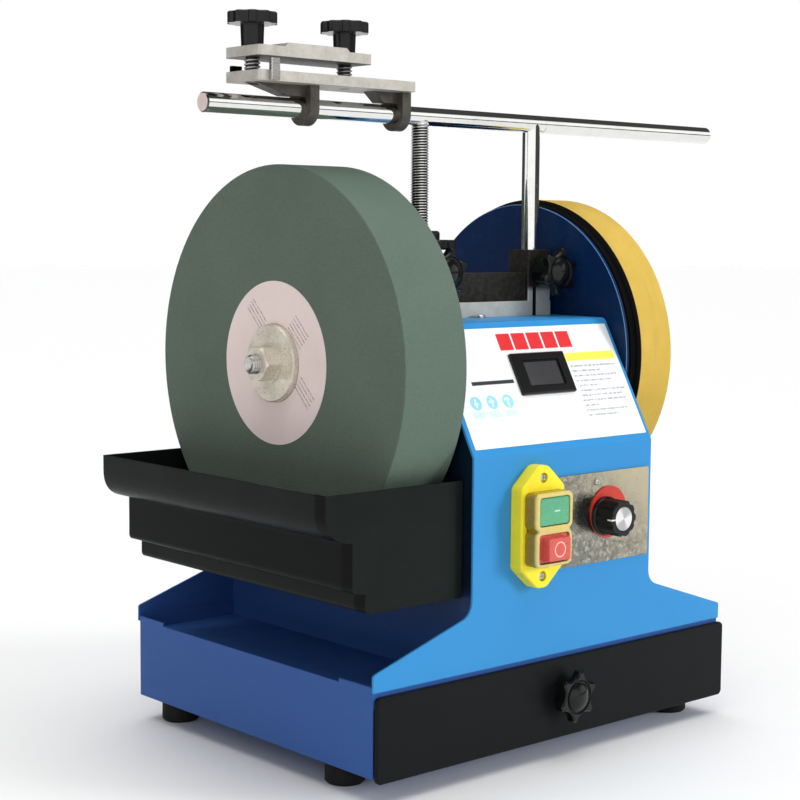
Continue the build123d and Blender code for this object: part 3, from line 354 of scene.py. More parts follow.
@look("jig_steel")
def jig_steel():
    """Matt nickelled plates, black below the lower one's underside, where its ribs and lugs are dark
    castings and painted shade darkens the undersides, and black with painted shade on the jaw's
    underside.
    """
    base = (0.50, 0.475, 0.435)
    plate = Look("jig_steel", base, 0.45, Metallic=0.25, Specular_IOR_Level=0.2)
    plate.soften(0.4 * MM)
    worn = plate.math("MULTIPLY", plate.edge(), 0.35)
    mottle = plate.span(plate.noise(160, 5, 0.7), 0.35, 0.7)
    pale = plate.mix(mottle, (0.60, 0.57, 0.52), (0.46, 0.435, 0.39))
    pale = plate.mix(worn, pale, (0.74, 0.71, 0.66))
    dark = plate.mix(mottle, (0.060, 0.054, 0.046), (0.105, 0.096, 0.084))
    dark = plate.mix(worn, dark, (0.24, 0.225, 0.20))
    jaw_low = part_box("jig_springs")[1].z
    # painted shade on the jaw's underside
    jaw_underside_shade = plate.between(plate.axis("Z"), jaw_low - 0.3 * MM, jaw_low + 0.2 * MM, 0.02 * MM)
    # below the lower plate: dark cast ribs and lugs, with painted shade on the undersides
    below = plate.span(plate.axis("Z"), *JIG_UNDER_Z, 1.0, 0.0)
    below = plate.math("MAXIMUM", below, jaw_underside_shade)
    plate.colour(plate.mix(below, pale, dark))
    plate.rough(plate.span(plate.noise(1500, 3), 0.3, 0.75, 0.36, 0.56))
    plate.bump(plate.noise(1500, 3, 0.6), 0.00004, 0.5)
    return plate.mat


@look("spun_cap")
def spun_cap():
    """A spun disc, with painted highlights fanning out over it in wedges about the knob's axis."""
    centre = middle("speed_knob_cap")
    spun = Look("spun_cap", (0.86, 0.86, 0.86), 0.25, Metallic=0.9)
    spun.soften(0.2 * MM)
    dx, dz = spun.offsets(centre, "XZ")
    turn = spun.math("MULTIPLY", spun.math("ARCTAN2", dz, dx), 2.0)
    # painted highlight: light and dark wedges about the knob's axis
    fan_highlight = spun.span(spun.math("SINE", spun.math("ADD", turn, 2.3)), -0.5, 0.5)
    spun.colour(spun.mix(fan_highlight, (0.55, 0.55, 0.55), (0.93, 0.93, 0.93)))
    spun.bump(spun.rings(spun.length(dx, dz), 24000), 0.00002, 0.4)
    spun.rough(spun.span(spun.noise(400, 3), 0.3, 0.7, 0.30, 0.44))
    return spun.mat


@look("chrome")
def chrome():
    """Hard chrome with smears, a pale sawn end on the bar, and painted shade in the roots of the
    leg's thread.
    """
    plated = Look("chrome", (0.78, 0.78, 0.76), 0.08, Metallic=1.0)
    smear = plated.span(plated.noise(45, 5, 0.7, (0.5, 1, 1)), 0.45, 0.8)
    plated.rough(plated.span(smear, 0, 1, 0.06, 0.16))
    tone = plated.mix(smear, (0.80, 0.80, 0.78), (0.66, 0.66, 0.64))
    bevel = plated.span(plated.axis("X"), BAR_LOW.x + 0.9 * MM, BAR_LOW.x + 1.1 * MM, 1.0, 0.0)
    tone = plated.mix(bevel, tone, (0.10, 0.085, 0.075))
    sawn = plated.span(plated.axis("X"), BAR_LOW.x + 0.05 * MM, BAR_LOW.x + 0.10 * MM, 1.0, 0.0)
    tone = plated.mix(sawn, tone, (0.86, 0.72, 0.68))
    plated.links.new(plated.span(sawn, 0, 1, 1.0, 0.1), plated.bsdf.inputs["Metallic"])
    leg_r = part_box("threaded_leg")[1].x - LEG.x
    # painted shade in the roots of the leg's thread, below the bar
    root = plated.span(plated.radius(LEG, "XY"), leg_r - 0.70 * MM, leg_r - 0.15 * MM, 1.0, 0.0)
    under_bar = plated.span(plated.axis("Z"), BAR_LOW.z - 0.2 * MM, BAR_LOW.z, 1.0, 0.0)
    root = plated.math("MULTIPLY", root, under_bar)
    plated.colour(plated.mix(root, tone, (0.045, 0.036, 0.026)))
    plated.bump(plated.noise(700, 2, 0.5, (0.15, 1, 1)), 0.000006, 0.5)
    return plated.mat


@look("cast_alloy")
def cast_alloy():
    """Die casting: nearly black skin, milled pale on its foremost faces, which are painted dark as
    the clamp knobs' shadow from just below the knobs upward.
    """
    cast = Look("cast_alloy", (0.05, 0.045, 0.038), 0.55, Metallic=0.6, Specular_IOR_Level=0.3)
    cast.soften(0.5 * MM)
    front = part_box("support_block")[0].y
    knob_z = middle("clamp_knob_right").z
    # painted shadow of the clamp knobs: the foremost faces stay dark above this line
    below_knob_shadow = cast.span(cast.axis("Z"), knob_z - 14 * MM, knob_z - 10 * MM, 1.0, 0.0)
    foremost = cast.span(cast.axis("Y"), front + 0.2 * MM, front + 0.6 * MM, 1.0, 0.0)
    cut = cast.math("MULTIPLY", below_knob_shadow, foremost)
    pits = cast.noise(260, 5, 0.7)
    skin = cast.mix(cast.span(pits, 0.35, 0.7), (0.020, 0.018, 0.015), (0.055, 0.050, 0.042))
    worn = cast.math("MULTIPLY", cast.edge(), 0.25)
    skin = cast.mix(worn, skin, (0.22, 0.21, 0.19))
    blotch = cast.span(cast.noise(90, 5, 0.7), 0.3, 0.75)
    milled = cast.mix(blotch, (0.60, 0.60, 0.53), (0.44, 0.44, 0.39))
    cast.colour(cast.mix(cut, skin, milled))
    cast.links.new(cast.span(cut, 0, 1, 0.6, 0.15), cast.bsdf.inputs["Metallic"])
    cast.rough(cast.span(cut, 0, 1, 0.60, 0.42))
    cast.bump(cast.noise(900, 4, 0.7), 0.00012, 0.5)
    return cast.mat


@look("brushed_plate")
def brushed_plate():
    """Bright thin plate, dimpled round the controls and smooth in its far corner; darker and blotched
    towards the controls, partly crazing and partly painted shade of the controls.
    """
    plate = Look("brushed_plate", (0.55, 0.52, 0.46), 0.22, Metallic=1.0)
    plate.soften(0.3 * MM)
    low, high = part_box("dial_plate")
    across = plate.span(plate.axis("X"), low.x, high.x)
    up = plate.span(plate.axis("Z"), low.z, high.z)
    far = plate.math("MULTIPLY_ADD", across, 0.55, plate.math("MULTIPLY", up, 0.45))
    crazed = plate.span(far, 0.45, 0.80, 1.0, 0.0)
    blotch = plate.noise(80, 6, 0.72, distortion=1.8)
    speck = plate.math("MULTIPLY", plate.span(plate.noise(300, 4, 0.7), 0.52, 0.64), crazed)
    # partly painted shade: darker and greyer towards the controls, lighter towards the far corner
    warm = plate.mix(plate.span(far, 0.2, 0.9), (0.25, 0.255, 0.225), (0.56, 0.50, 0.355))
    dark = plate.math("MULTIPLY", plate.span(blotch, 0.42, 0.66), crazed)
    tone = plate.mix(dark, warm, (0.15, 0.15, 0.13))
    tone = plate.mix(plate.math("MULTIPLY", speck, 0.7), tone, (0.62, 0.60, 0.54))
    plate.colour(tone)
    plate.rough(plate.span(blotch, 0.3, 0.7, 0.16, 0.30))
    deep = plate.span(crazed, 0, 1, 0.25, 1.0)
    ripple = plate.math("MULTIPLY", plate.noise(170, 4, 0.6, distortion=1.2), deep)
    plate.bump(ripple, 0.0005, 0.4)
    plate.bump(plate.noise(700, 3, 0.6, (1, 1, 0.06)), 0.00003, 0.5)
    return plate.mat


@look("bush_brass")
def bush_brass():
    """Oil-darkened sintered bronze."""
    return metal("bush_brass", (0.10, 0.085, 0.065), 0.42).mat


def moulded(name, base, rough, grain=0.00003, scale=1400, edge=0.5, **constants):
    """Injection-moulded plastic: a fine spark-eroded grain and rubbed edges."""
    plastic = Look(name, base, rough, **constants)
    plastic.soften(0.45 * MM)
    worn = plastic.math("MULTIPLY", plastic.edge(0.03, 0.3), 0.25 * edge)
    cloud = plastic.span(plastic.noise(22, 4), 0.3, 0.75)
    shade = tuple(min(1.0, c * 1.25 + 0.002) for c in base)
    pale = tuple(min(1.0, c * 1.6 + 0.03) for c in base)
    plastic.colour(plastic.mix(worn, plastic.mix(cloud, base, shade), pale))
    duller = min(1.0, rough * 1.2)
    plastic.rough(plastic.span(plastic.noise(130, 4), 0.3, 0.75, rough * 0.85, duller))
    plastic.bump(plastic.noise(scale, 2), grain, 0.5)
    return plastic


@look("rubber")
def rubber():
    black = (0.0075, 0.0075, 0.0075)
    return moulded("rubber", black, 0.72, 0.0001, 700, Specular_IOR_Level=0.2).mat


@look("drive_rubber")
def drive_rubber():
    black = (0.0025, 0.0025, 0.0025)
    return moulded("drive_rubber", black, 0.8, 0.00012, 500, Specular_IOR_Level=0.05).mat


@look("black_plastic")
def black_plastic():
    return moulded("black_plastic", (0.006, 0.006, 0.006), 0.42, Specular_IOR_Level=0.14).mat


TRAY_STEP_SHADE_Z = (128.5 * MM, 154.0 * MM)   # the tray's middle step, darkened with painted shade


@look("tray_plastic")
def tray_plastic():
    """Black tray: painted shade darkens its middle step, and a dark band of painted shade stands for
    its rounded front corner.
    """
    base = (0.0088, 0.0115, 0.0108)
    tray = moulded("tray_plastic", base, 0.34, 0.00004, 900, Specular_IOR_Level=0.06)
    near_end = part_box("water_tray")[0].y
    # painted shade: a dark band that stands for a rounded front corner
    corner = tray.between(tray.axis("Y"), near_end + 0.8 * MM, near_end + 10.5 * MM, 0.5 * MM)
    # painted shade on the middle step
    step = tray.between(tray.axis("Z"), *TRAY_STEP_SHADE_Z, 1.5 * MM)
    side = tray.span(tray.axis("Y"), near_end + 0.3 * MM, near_end + 0.8 * MM)
    tone = tray.mix(tray.math("MULTIPLY", step, side), tray.base, (0.0050, 0.0060, 0.0055))
    tray.colour(tray.mix(corner, tone, (0.0012, 0.0014, 0.0013)))
    return tray.mat


@look("knob_plastic")
def knob_plastic():
    """Glossy black, with a white pointer line painted on the speed knob's face."""
    black = (0.0032, 0.0036, 0.0036)
    knob = moulded("knob_plastic", black, 0.20, 0.00002, 1600, Specular_IOR_Level=0.3)
    u, v = knob.face(middle("speed_knob_shaft"))
    front_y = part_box("speed_knob")[0].y
    front = knob.span(knob.axis("Y"), front_y + 3.0 * MM, front_y + 4.0 * MM, 1.0, 0.0)
    line = knob.math("MULTIPLY", knob.patch(u, v, (-12.5, -8.0), (-0.45, 0.45), 0.08), front)
    knob.colour(knob.mix(line, knob.base, (0.80, 0.80, 0.78)))
    return knob.mat


@look("gloss_black")
def gloss_black():
    return moulded("gloss_black", (0.004, 0.004, 0.0042), 0.2, 0.00001, Specular_IOR_Level=0.3).mat


@look("yellow_plastic")
def yellow_plastic():
    yellow = (0.90, 0.72, 0.020)
    return moulded("yellow_plastic", yellow, 0.3, 0.00002, 1400, 0.2, Specular_IOR_Level=0.4).mat


@look("green_plastic")
def green_plastic():
    """Start button, with the plain stroke that stands for on."""
    green = moulded("green_plastic", (0.085, 0.355, 0.190), 0.26, 0.00001, 1400, 0.9)
    u, v = green.face(middle("start_button"))
    stroke = green.patch(u, v, (0.0, 4.8), (-0.45, 0.45), 0.10)
    green.colour(green.mix(green.math("MULTIPLY", stroke, 0.75), green.base, (0.75, 0.88, 0.80)))
    return green.mat


STOP_FACE_Y = (-146.7 * MM, -146.2 * MM)         # the stop button's foremost face
STOP_RING_R = (4.1, 4.9)


@look("red_plastic")
def red_plastic():
    """Stop button, with the plain ring that stands for off."""
    red = moulded("red_plastic", (0.55, 0.082, 0.062), 0.28, 0.00001, 1400, 0.9)
    u, v = red.face(middle("stop_button"))
    inner, outer = (red.disc(u, v, (0.0, 0.0), radius, 0.12) for radius in STOP_RING_R)
    ring = red.math("SUBTRACT", outer, inner)
    face = red.span(red.axis("Y"), *STOP_FACE_Y, 1.0, 0.0)
    ring = red.math("MULTIPLY", red.math("MULTIPLY", ring, face), 0.8)
    red.colour(red.mix(ring, red.base, (0.90, 0.62, 0.55)))
    return red.mat


@look("board")
def board():
    return moulded("board", (0.02, 0.14, 0.06), 0.4).mat


@look("yellow_boot")
def yellow_boot():
    """Clouded clear vinyl over the yellow plate: dull straw on its face, with painted shade turning
    its sides brown.
    """
    boot = Look("yellow_boot", (0.72, 0.60, 0.16), 0.2)
    boot.soften(0.6 * MM)
    near_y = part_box("switch_boot")[0].y
    cloud = boot.span(boot.noise(34, 3), 0.3, 0.7)
    face = boot.mix(cloud, (0.70, 0.57, 0.155), (0.60, 0.52, 0.22))
    # painted shade: browner going back from the boot's face
    depth = boot.span(boot.axis("Y"), near_y + 0.7 * MM, near_y + 2.6 * MM)
    boot.colour(boot.mix(depth, face, (0.30, 0.20, 0.014)))
    boot.rough(boot.span(boot.noise(200, 3), 0.3, 0.7, 0.2, 0.34))
    boot.bump(boot.noise(240, 3), 0.00003, 0.5)
    return boot.mat


@look("stone")
def stone():
    """Vitrified grit: fine open grain, faint turned rings on its face, paler trued rim."""
    grit = Look("stone", (0.10, 0.14, 0.115), 0.88, Specular_IOR_Level=0.25)
    away = grit.radius(SHAFT)
    rim = grit.span(away, STONE_R - 1.2 * MM, STONE_R - 0.4 * MM)
    fine = grit.noise(2600, 3, 0.7)
    cloud = grit.noise(18, 5, 0.6)
    face = grit.mix(grit.span(cloud, 0.3, 0.7), (0.118, 0.158, 0.124), (0.134, 0.178, 0.140))
    edge = grit.mix(grit.span(cloud, 0.3, 0.7), (0.112, 0.160, 0.126), (0.124, 0.175, 0.138))
    base = grit.mix(rim, face, edge)
    dark = grit.mix(grit.span(fine, 0.30, 0.46, 1, 0), base, (0.035, 0.045, 0.038))
    pale = grit.span(grit.noise(3400, 2, 0.6), 0.64, 0.74)
    grit.colour(grit.mix(grit.math("MULTIPLY", pale, 0.5), dark, (0.26, 0.32, 0.28)))
    grit.bump(grit.rings(away, 2600), 0.00003, 0.25)
    grit.bump(fine, 0.00025, 0.6)
    return grit.mat


LABEL_LINES = (                  # three blocks of fine lines: middle, length, count and pitch, mm
    ((18.6, 30.2), 19.5, 4, 2.7),
    ((-24.0, 20.8), 18.5, 5, 2.7),
    ((-30.6, -17.0), 19.0, 4, 2.9),
)


@look("paper_label")
def paper_label():
    """Blotting-paper washer, a little cockled by damp, with blocks of plain fine lines."""
    paper = Look("paper_label", (0.74, 0.62, 0.58), 0.85, Sheen_Weight=0.2)
    cloud = paper.span(paper.noise(30, 5), 0.3, 0.75)
    plain = paper.mix(cloud, (0.90, 0.755, 0.72), (0.83, 0.69, 0.655))
    y = paper.millimetres("Y", SHAFT.y)
    z = paper.millimetres("Z", SHAFT.z)
    along = paper.math("MULTIPLY", paper.math("ADD", y, z), math.sqrt(0.5))
    across = paper.math("MULTIPLY", paper.math("SUBTRACT", z, y), math.sqrt(0.5))
    blocks = []
    for (cy, cz), length, lines, pitch in LABEL_LINES:
        a = (cy + cz) * math.sqrt(0.5)
        b = (cz - cy) * math.sqrt(0.5)
        half = pitch * lines / 2
        run = (a - length / 2, a + length / 2)
        block = paper.patch(along, across, run, (b - half, b + half), 0.3)
        from_top = paper.math("SUBTRACT", across, b - half)
        phase = paper.math("FRACT", paper.math("DIVIDE", from_top, pitch))
        blocks.append(paper.math("MULTIPLY", block, paper.between(phase, 0.32, 0.66, 0.08)))
    ticks = paper.span(paper.noise(900, 2, 0.6), 0.44, 0.56)
    ink = paper.math("MULTIPLY", paper.union(blocks), paper.span(ticks, 0, 1, 0.15, 0.85))
    paper.colour(paper.mix(ink, plain, (0.16, 0.11, 0.11)))
    paper.bump(paper.noise(45, 4), 0.0004, 0.3)
    paper.bump(paper.noise(1800, 4, 0.7), 0.00006, 0.5)
    return paper.mat


SHEET_TALL = 80.5                # millimetres up the slope; the rest are millimetres on the sheet
TITLE_BLOCKS = 5                 # plain red blocks along the top of the sheet
TITLE_X = (50.0, 118.0)
TITLE_UP = (64.6, 76.4)
YELLOW_BAR = ((106.5, 153.5), (54.6, 60.6))
BLACK_BAR = ((15.7, 52.5), (42.0, 44.6))
ICONS = 3                        # round icons with a caption bar under each
ICON_X, ICON_UP, ICON_R, ICON_PITCH = 13.6, 30.2, 4.7, 13.8
CAPTION_UP = (20.0, 24.6)
PARAGRAPH_X = (108.5, 152.0)
PARAGRAPH_TOP, LINE_PITCH, LINE_TALL = 51.5, 3.5, 1.25
PARAGRAPH_ENDS = (1.0, 0.62, 0.94, 0.80, 0.50, 1.0, 0.92, 0.96, 0.30, 0.90, 0.66)


@look("print_sheet")
def print_sheet():
    """Laminated printed film with plain blocks, bars and discs, and no lettering."""
    film = Look("print_sheet", (0.86, 0.90, 0.93), 0.32, Specular_IOR_Level=0.4)
    low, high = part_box("control_sheet")
    u = film.millimetres("X", low.x)
    v = film.math("MULTIPLY", film.span(film.axis("Z"), low.z, high.z), SHEET_TALL)
    cloud = film.span(film.noise(12, 3), 0.3, 0.75)
    tone = film.mix(cloud, (0.90, 0.93, 0.94), (0.84, 0.88, 0.90))

    width = (TITLE_X[1] - TITLE_X[0]) / TITLE_BLOCKS
    blocks = []
    for index in range(TITLE_BLOCKS):
        left = TITLE_X[0] + index * width
        blocks.append(film.patch(u, v, (left + 0.7, left + width - 0.7), TITLE_UP, 0.3))
    tone = film.mix(film.union(blocks), tone, (0.72, 0.030, 0.035))

    tone = film.mix(film.patch(u, v, *YELLOW_BAR, 0.3), tone, (0.90, 0.84, 0.10))
    tone = film.mix(film.patch(u, v, *BLACK_BAR, 0.25), tone, (0.035, 0.035, 0.040))

    lines = []
    for index, end in enumerate(PARAGRAPH_ENDS):
        top = PARAGRAPH_TOP - LINE_PITCH * index
        right = PARAGRAPH_X[0] + end * (PARAGRAPH_X[1] - PARAGRAPH_X[0])
        lines.append(film.patch(u, v, (PARAGRAPH_X[0], right), (top - LINE_TALL, top), 0.25))
    ticks = film.span(film.noise(620, 1, 0.5), 0.44, 0.53, 0.35, 1.0)
    print_grey = film.math("MULTIPLY", film.math("MULTIPLY", film.union(lines), ticks), 0.72)
    tone = film.mix(print_grey, tone, (0.20, 0.20, 0.21))

    discs = []
    holes = []
    for index in range(ICONS):
        x = ICON_X + ICON_PITCH * index
        discs.append(film.disc(u, v, (x, ICON_UP), ICON_R, 0.25))
        caption = film.patch(u, v, (x - 5.5, x + 4.5), CAPTION_UP, 0.3)
        discs.append(film.math("MULTIPLY", caption, 0.40))
        holes.append(film.patch(u, v, (x - 0.7, x + 0.7), (27.6 - index / 2, 33.0), 0.25))
        crossbar_x = (x - 1.8 - index / 2, x + 1.8)
        holes.append(film.patch(u, v, crossbar_x, (29.0 + index, 30.5 + index), 0.25))
    cyan = film.math("MULTIPLY", film.union(discs), 0.85)
    tone = film.mix(cyan, tone, (0.22, 0.66, 0.78))
    tone = film.mix(film.math("MULTIPLY", film.union(holes), 0.8), tone, (0.88, 0.95, 0.96))

    film.colour(tone)
    film.rough(film.span(film.noise(90, 4), 0.3, 0.7, 0.26, 0.4))
    film.bump(film.noise(120, 3), 0.00005, 0.4)
    return film.mat


@look("red_dial")
def red_dial():
    return moulded("red_dial", (0.52, 0.030, 0.018), 0.42, 0.00001).mat


@look("screen_glass")
def screen_glass():
    """Unlit display behind a smoked window with a black border."""
    glass = Look("screen_glass", (0.045, 0.045, 0.047), 0.14, Specular_IOR_Level=0.2)
    low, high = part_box("display_screen")
    u = glass.millimetres("X", low.x)
    v = glass.math("MULTIPLY", glass.span(glass.axis("Z"), low.z, high.z), 100.0)
    wide = (high.x - low.x) / MM
    shown = glass.patch(u, v, (1.8, wide - 1.8), (6.0, 92.0), 0.5)
    cloud = glass.span(glass.noise(40, 3), 0.3, 0.75)
    lit = glass.mix(cloud, (0.040, 0.040, 0.044), (0.060, 0.060, 0.065))
    glass.colour(glass.mix(shown, (0.008, 0.008, 0.008), lit))
    glass.bump(glass.noise(160, 2), 0.00002, 0.3)
    return glass.mat


@look("leather")
def leather():
    """Honing leather, suede side out: nap, pores and darker polished streaks round the rim."""
    hide = Look("leather", (0.60, 0.41, 0.08), 0.72, Specular_IOR_Level=0.25)
    nap = hide.noise(900, 5, 0.7)
    cloud = hide.noise(26, 5, 0.65)
    around = hide.noise(220, 4, 0.6, (1, 0.08, 0.08))
    base = hide.mix(hide.span(cloud, 0.3, 0.72), (0.56, 0.370, 0.058), (0.66, 0.455, 0.092))
    rubbed = hide.math("MULTIPLY", hide.span(around, 0.5, 0.75), 0.35)
    tone = hide.mix(rubbed, base, (0.44, 0.28, 0.045))
    near_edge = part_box("honing_leather")[0].x
    dyed = hide.span(hide.axis("X"), near_edge + 0.3 * MM, near_edge + 0.5 * MM, 1.0, 0.0)
    hide.colour(hide.mix(dyed, tone, (0.004, 0.004, 0.004)))
    hide.rough(hide.span(around, 0.4, 0.75, 0.8, 0.55))
    hide.bump(nap, 0.0003, 0.6)
    hide.bump(hide.cells(700), 0.0002, 0.4)
    return hide.mat


for slot_of in frame["record"]["subparts"]:
    cad = NODES[slot_of["node"]]
    cad.data.materials.clear()
    cad.data.materials.append(LOOKS[slot_of["material_slot"]])


# ---------------------------------------------------------------- turned and wound pieces
def add_piece(name, mesh_maker, stands_for, body, finish_of):
    """Turn a bmesh into an object that rides a body and takes a CAD node's material."""
    mesh = bpy.data.meshes.new(name)
    mesh_maker.normal_update()
    mesh_maker.to_mesh(mesh)
    mesh_maker.free()
    piece = bpy.data.objects.new(name, mesh)
    bpy.context.scene.collection.objects.link(piece)
    rows = frame["record"]["subparts"]
    slot_name = next(row["material_slot"] for row in rows if row["node"] == finish_of)
    mesh.materials.append(LOOKS[slot_name])
    for face in mesh.polygons:
        face.use_smooth = True
    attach(piece, body)
    if stands_for:
        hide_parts(stands_for)
    return piece


def turned(place, stations, radius_at, steps):
    """A closed surface round the local Z axis, its radius given at each station and angle."""
    solid = bmesh.new()
    rings = []
    for t in stations:
        ring = []
        for k in range(steps):
            angle = 2 * math.pi * k / steps
            r = radius_at(t, angle)
            corner = Vector((r * math.cos(angle), r * math.sin(angle), t))
            ring.append(solid.verts.new(place @ corner))
        rings.append(ring)
    for below, above in zip(rings, rings[1:]):
        for k in range(steps):
            n = (k + 1) % steps
            solid.faces.new((below[k], below[n], above[n], above[k]))
    solid.faces.new(rings[0][::-1])
    solid.faces.new(rings[-1])
    return solid


def thread_height(t, angle, pitch):
    """One on a thread's crest and nought at its root, with narrow flats on both."""
    phase = (t / pitch - angle / (2 * math.pi)) % 1.0
    slant = 1 - abs(2 * phase - 1)
    return min(1.0, max(0.0, (slant - 0.10) / 0.74))


def even(low, high, step):
    count = max(2, round((high - low) / step))
    return [low + (high - low) * i / count for i in range(count + 1)]


def threaded_leg():
    """The left support leg, cut with an M12 thread from end to end."""
    low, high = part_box("threaded_leg")
    pitch, depth, lead = 1.75 * MM, 1.0 * MM, 1.2 * MM
    radius = (high.x - low.x) / 2

    def radius_at(t, angle):
        from_end = t - low.z
        crest = radius - max(0.0, lead - from_end)
        return crest - depth * (1 - thread_height(t, angle, pitch)) * min(1.0, from_end / lead)

    place = Matrix.Translation((LEG.x, LEG.y, 0))
    stations = even(low.z, BAR.z - 3.0 * MM, pitch / 7)
    leg = turned(place, stations, radius_at, 32)
    add_piece("leg_thread", leg, "threaded_leg", "support", "threaded_leg")


def springs():
    """Two open coil springs between the jig's plates, each with its own mesh."""
    low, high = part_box("jig_springs")
    tall = high.z - low.z
    wire, coils, around, sides = 0.62 * MM, 3.2, 26, 10
    outer = (high.y - low.y) / 2
    coil_r = outer - wire
    steps = round(coils * around)
    for index, x in enumerate((low.x + outer, high.x - outer)):
        solid = bmesh.new()
        rings = []
        for k in range(steps + 1):
            angle = 2 * math.pi * k / around
            rise = low.z + wire + (tall - 2 * wire) * k / steps
            out = Vector((math.cos(angle), math.sin(angle), 0))
            ring = []
            for q in range(sides):
                tilt = 2 * math.pi * q / sides
                at = out * (coil_r + wire * math.cos(tilt)) + Vector((0, 0, wire * math.sin(tilt)))
                ring.append(solid.verts.new(Vector((x, BAR.y, rise)) + at))
            rings.append(ring)
        for one, two in zip(rings, rings[1:]):
            for q in range(sides):
                n = (q + 1) % sides
                solid.faces.new((one[q], two[q], two[n], one[n]))
        solid.faces.new(rings[0])
        solid.faces.new(rings[-1][::-1])
        side = ("left", "right")[index]
        stands_for = "jig_springs" if index == 0 else None
        spring = add_piece("jig_spring_" + side, solid, stands_for, "jig", "jig_springs")
        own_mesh(spring)


def wheel_shaft():
    """The wheel shaft with M12 threads on both ends and a centre-drilled tip."""
    low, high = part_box("wheel_shaft")
    pitch, depth, lead = 1.75 * MM, 0.95 * MM, 1.0 * MM
    stub = 6.0 * MM
    steps_at = (                  # where each shoulder starts, and the radius from there on
        (low.x, stub),
        (STONE_HIGH.x + 0.2 * MM, 10.0 * MM),
        (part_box("drive_disc")[0].x, 8.0 * MM),
        (high.x - 16.0 * MM, stub),
    )

    def radius_at(t, angle):
        radius = [r for start, r in steps_at if t >= start - 1e-9][-1]
        if radius > stub or STONE_LOW.x < t < STONE_HIGH.x:
            return radius
        from_end = min(t - low.x, high.x - t)
        crest = radius - max(0.0, lead - from_end)
        return crest - depth * (1 - thread_height(t, angle, pitch)) * min(1.0, from_end / lead)

    stations = even(low.x, STONE_LOW.x, pitch / 7)
    for start, _ in steps_at[1:]:
        stations += [start - 0.01 * MM, start]
    stations += even(high.x - 15.8 * MM, high.x, pitch / 7)
    place = Matrix.Translation((0, SHAFT.y, SHAFT.z)) @ Matrix.Rotation(math.pi / 2, 4, "Y")
    shaft = turned(place, sorted(stations), radius_at, 48)
    tip = [f for f in shaft.faces if len(f.verts) > 4 and f.calc_center_median().x < low.x + MM]
    bmesh.ops.inset_region(shaft, faces=tip, thickness=2.6 * MM)
    centre = tip[0].calc_center_median()
    for vert in tip[0].verts:
        vert.co = centre + (vert.co - centre) * 0.95
    bmesh.ops.inset_region(shaft, faces=tip, thickness=1.7 * MM, depth=-2.6 * MM)
    add_piece("shaft_threads", shaft, "wheel_shaft", "wheels", "wheel_shaft")


threaded_leg()
springs()
wheel_shaft()


# ---------------------------------------------------------------- stage, light, camera
def floor():
    """A plain pale floor, wide enough to pass out of every view."""
    mesh = bpy.data.meshes.new("floor")
    half = 14.0
    corners = [(-half, -half, 0), (half, -half, 0), (half, half, 0), (-half, half, 0)]
    mesh.from_pydata(corners, [], [(0, 1, 2, 3)])
    ground = bpy.data.objects.new("floor", mesh)
    bpy.context.scene.collection.objects.link(ground)
    plain = Look("floor", (0.90, 0.90, 0.90), 0.6, Specular_IOR_Level=0.1)
    mesh.materials.append(plain.mat)


BACKDROP_WAY = (-0.12, 0.99, 0.0)
FRONT_WALL = 0.55
OVERHEAD = 2.4
FLAG_GREY = 0.12                 # what the room gives everywhere else
LEFT_CARD_WAY = (-0.82, -0.57, 0.0)
RIGHT_CARD_WAY = (0.73, -0.68, 0.0)
CARD_WHITE = 1.15
CARD_GREY = 0.06


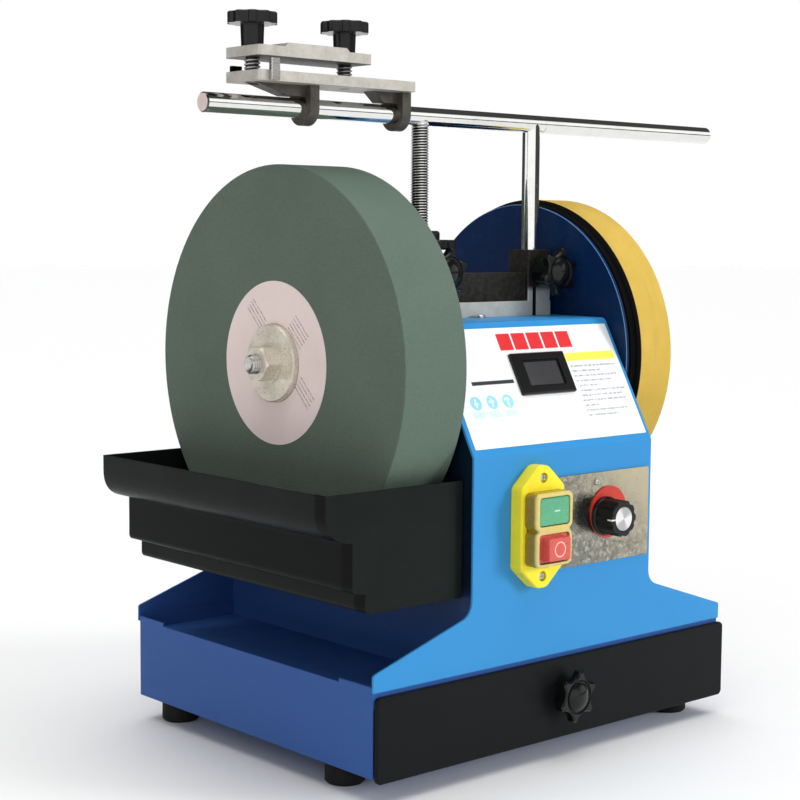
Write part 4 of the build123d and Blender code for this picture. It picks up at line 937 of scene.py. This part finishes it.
def studio_world():
    """White backdrop, soft front wall and overhead box, and white cards for chrome to mirror."""
    world = bpy.data.worlds.new("studio")
    world.use_nodes = True
    bpy.context.scene.world = world
    nodes = world.node_tree.nodes
    links = world.node_tree.links

    def made(kind, inputs, **settings):
        node = nodes.new("ShaderNode" + kind)
        for key, value in settings.items():
            setattr(node, key, value)
        for socket, value in inputs.items():
            if isinstance(value, bpy.types.NodeSocket):
                links.new(value, node.inputs[socket])
            else:
                node.inputs[socket].default_value = value
        return node

    def ramp(value, low, high, to_low, to_high):
        inputs = {"Value": value, "From Min": low, "From Max": high}
        inputs.update({"To Min": to_low, "To Max": to_high})
        return made("MapRange", inputs, interpolation_type="SMOOTHSTEP").outputs[0]

    def toward(direction):
        return made("VectorMath", {0: way, 1: direction}, operation="DOT_PRODUCT").outputs["Value"]

    def both(operation, a, b):
        return made("Math", {0: a, 1: b}, operation=operation).outputs[0]

    way = made("TexCoord", {}).outputs["Generated"]
    up = made("SeparateXYZ", {0: way}).outputs["Z"]
    under_box = ramp(up, 0.50, 0.64, 1, 0)
    box = ramp(up, 0.80, 0.86, 0.0, OVERHEAD)
    wall = both("MULTIPLY", ramp(toward(BACKDROP_WAY), -0.50, 0.0, FRONT_WALL, 0), under_box)
    glow = both("ADD", both("ADD", wall, box), FLAG_GREY)

    left_card = ramp(toward(LEFT_CARD_WAY), 0.22, 0.34, 0, 1)
    above_floor = ramp(up, 0.08, 0.12, 0, 1)
    right_card = both("MULTIPLY", ramp(toward(RIGHT_CARD_WAY), 0.80, 0.88, 0, 1), above_floor)
    either = both("MAXIMUM", left_card, right_card)
    cards = both("MULTIPLY", both("MULTIPLY", either, under_box), CARD_WHITE)
    mirrored = both("ADD", both("ADD", cards, box), CARD_GREY)

    path = made("LightPath", {}).outputs
    lit = {0: path["Is Glossy Ray"], 2: glow, 3: mirrored}
    indirect = made("Mix", lit, data_type="FLOAT").outputs[0]
    seen = {0: path["Is Camera Ray"], 2: indirect, 3: 1.0}
    strength = made("Mix", seen, data_type="FLOAT").outputs[0]
    links.new(strength, nodes["Background"].inputs["Strength"])
    nodes["Background"].inputs["Color"].default_value = (1, 1, 1, 1)


SUNS = (                         # name, the way it shines, its width in degrees, its power
    ("key", (-0.62, 0.74, -0.25), 16, 1.5),
    ("side", (0.80, 0.25, -0.50), 40, 0.35),
    ("back", (-0.3, -0.7, -0.6), 60, 0.35),
)


def sun(name, way, angle, power):
    """A soft sun that reflections don't show."""
    lamp = bpy.data.lights.new(name, "SUN")
    lamp.energy = power
    lamp.angle = math.radians(angle)
    holder = bpy.data.objects.new(name, lamp)
    holder.rotation_euler = Vector(way).to_track_quat("-Z", "Y").to_euler()
    holder.visible_glossy = False
    bpy.context.scene.collection.objects.link(holder)


CAMERA_AT = (-0.81672, -0.86643, 0.33365)        # metres; the angles below are in degrees
CAMERA_LENS = 77.57
CAMERA_AZIMUTH = -41.354
CAMERA_DOWN = 5.499
CAMERA_ROLL = 0.425


def camera():
    data = bpy.data.cameras.new("camera")
    data.lens = CAMERA_LENS
    data.sensor_width = 36
    data.clip_end = 50
    holder = bpy.data.objects.new("camera", data)
    tilt = Matrix.Rotation(math.radians(90 - CAMERA_DOWN), 4, "X")
    turn = Matrix.Rotation(math.radians(CAMERA_AZIMUTH), 4, "Z")
    roll = Matrix.Rotation(math.radians(CAMERA_ROLL), 4, "Z")
    holder.matrix_world = Matrix.Translation(CAMERA_AT) @ turn @ tilt @ roll
    bpy.context.scene.collection.objects.link(holder)
    bpy.context.scene.camera = holder


floor()
studio_world()
for row in SUNS:
    sun(*row)
camera()
bpy.context.scene.view_settings.view_transform = "Standard"
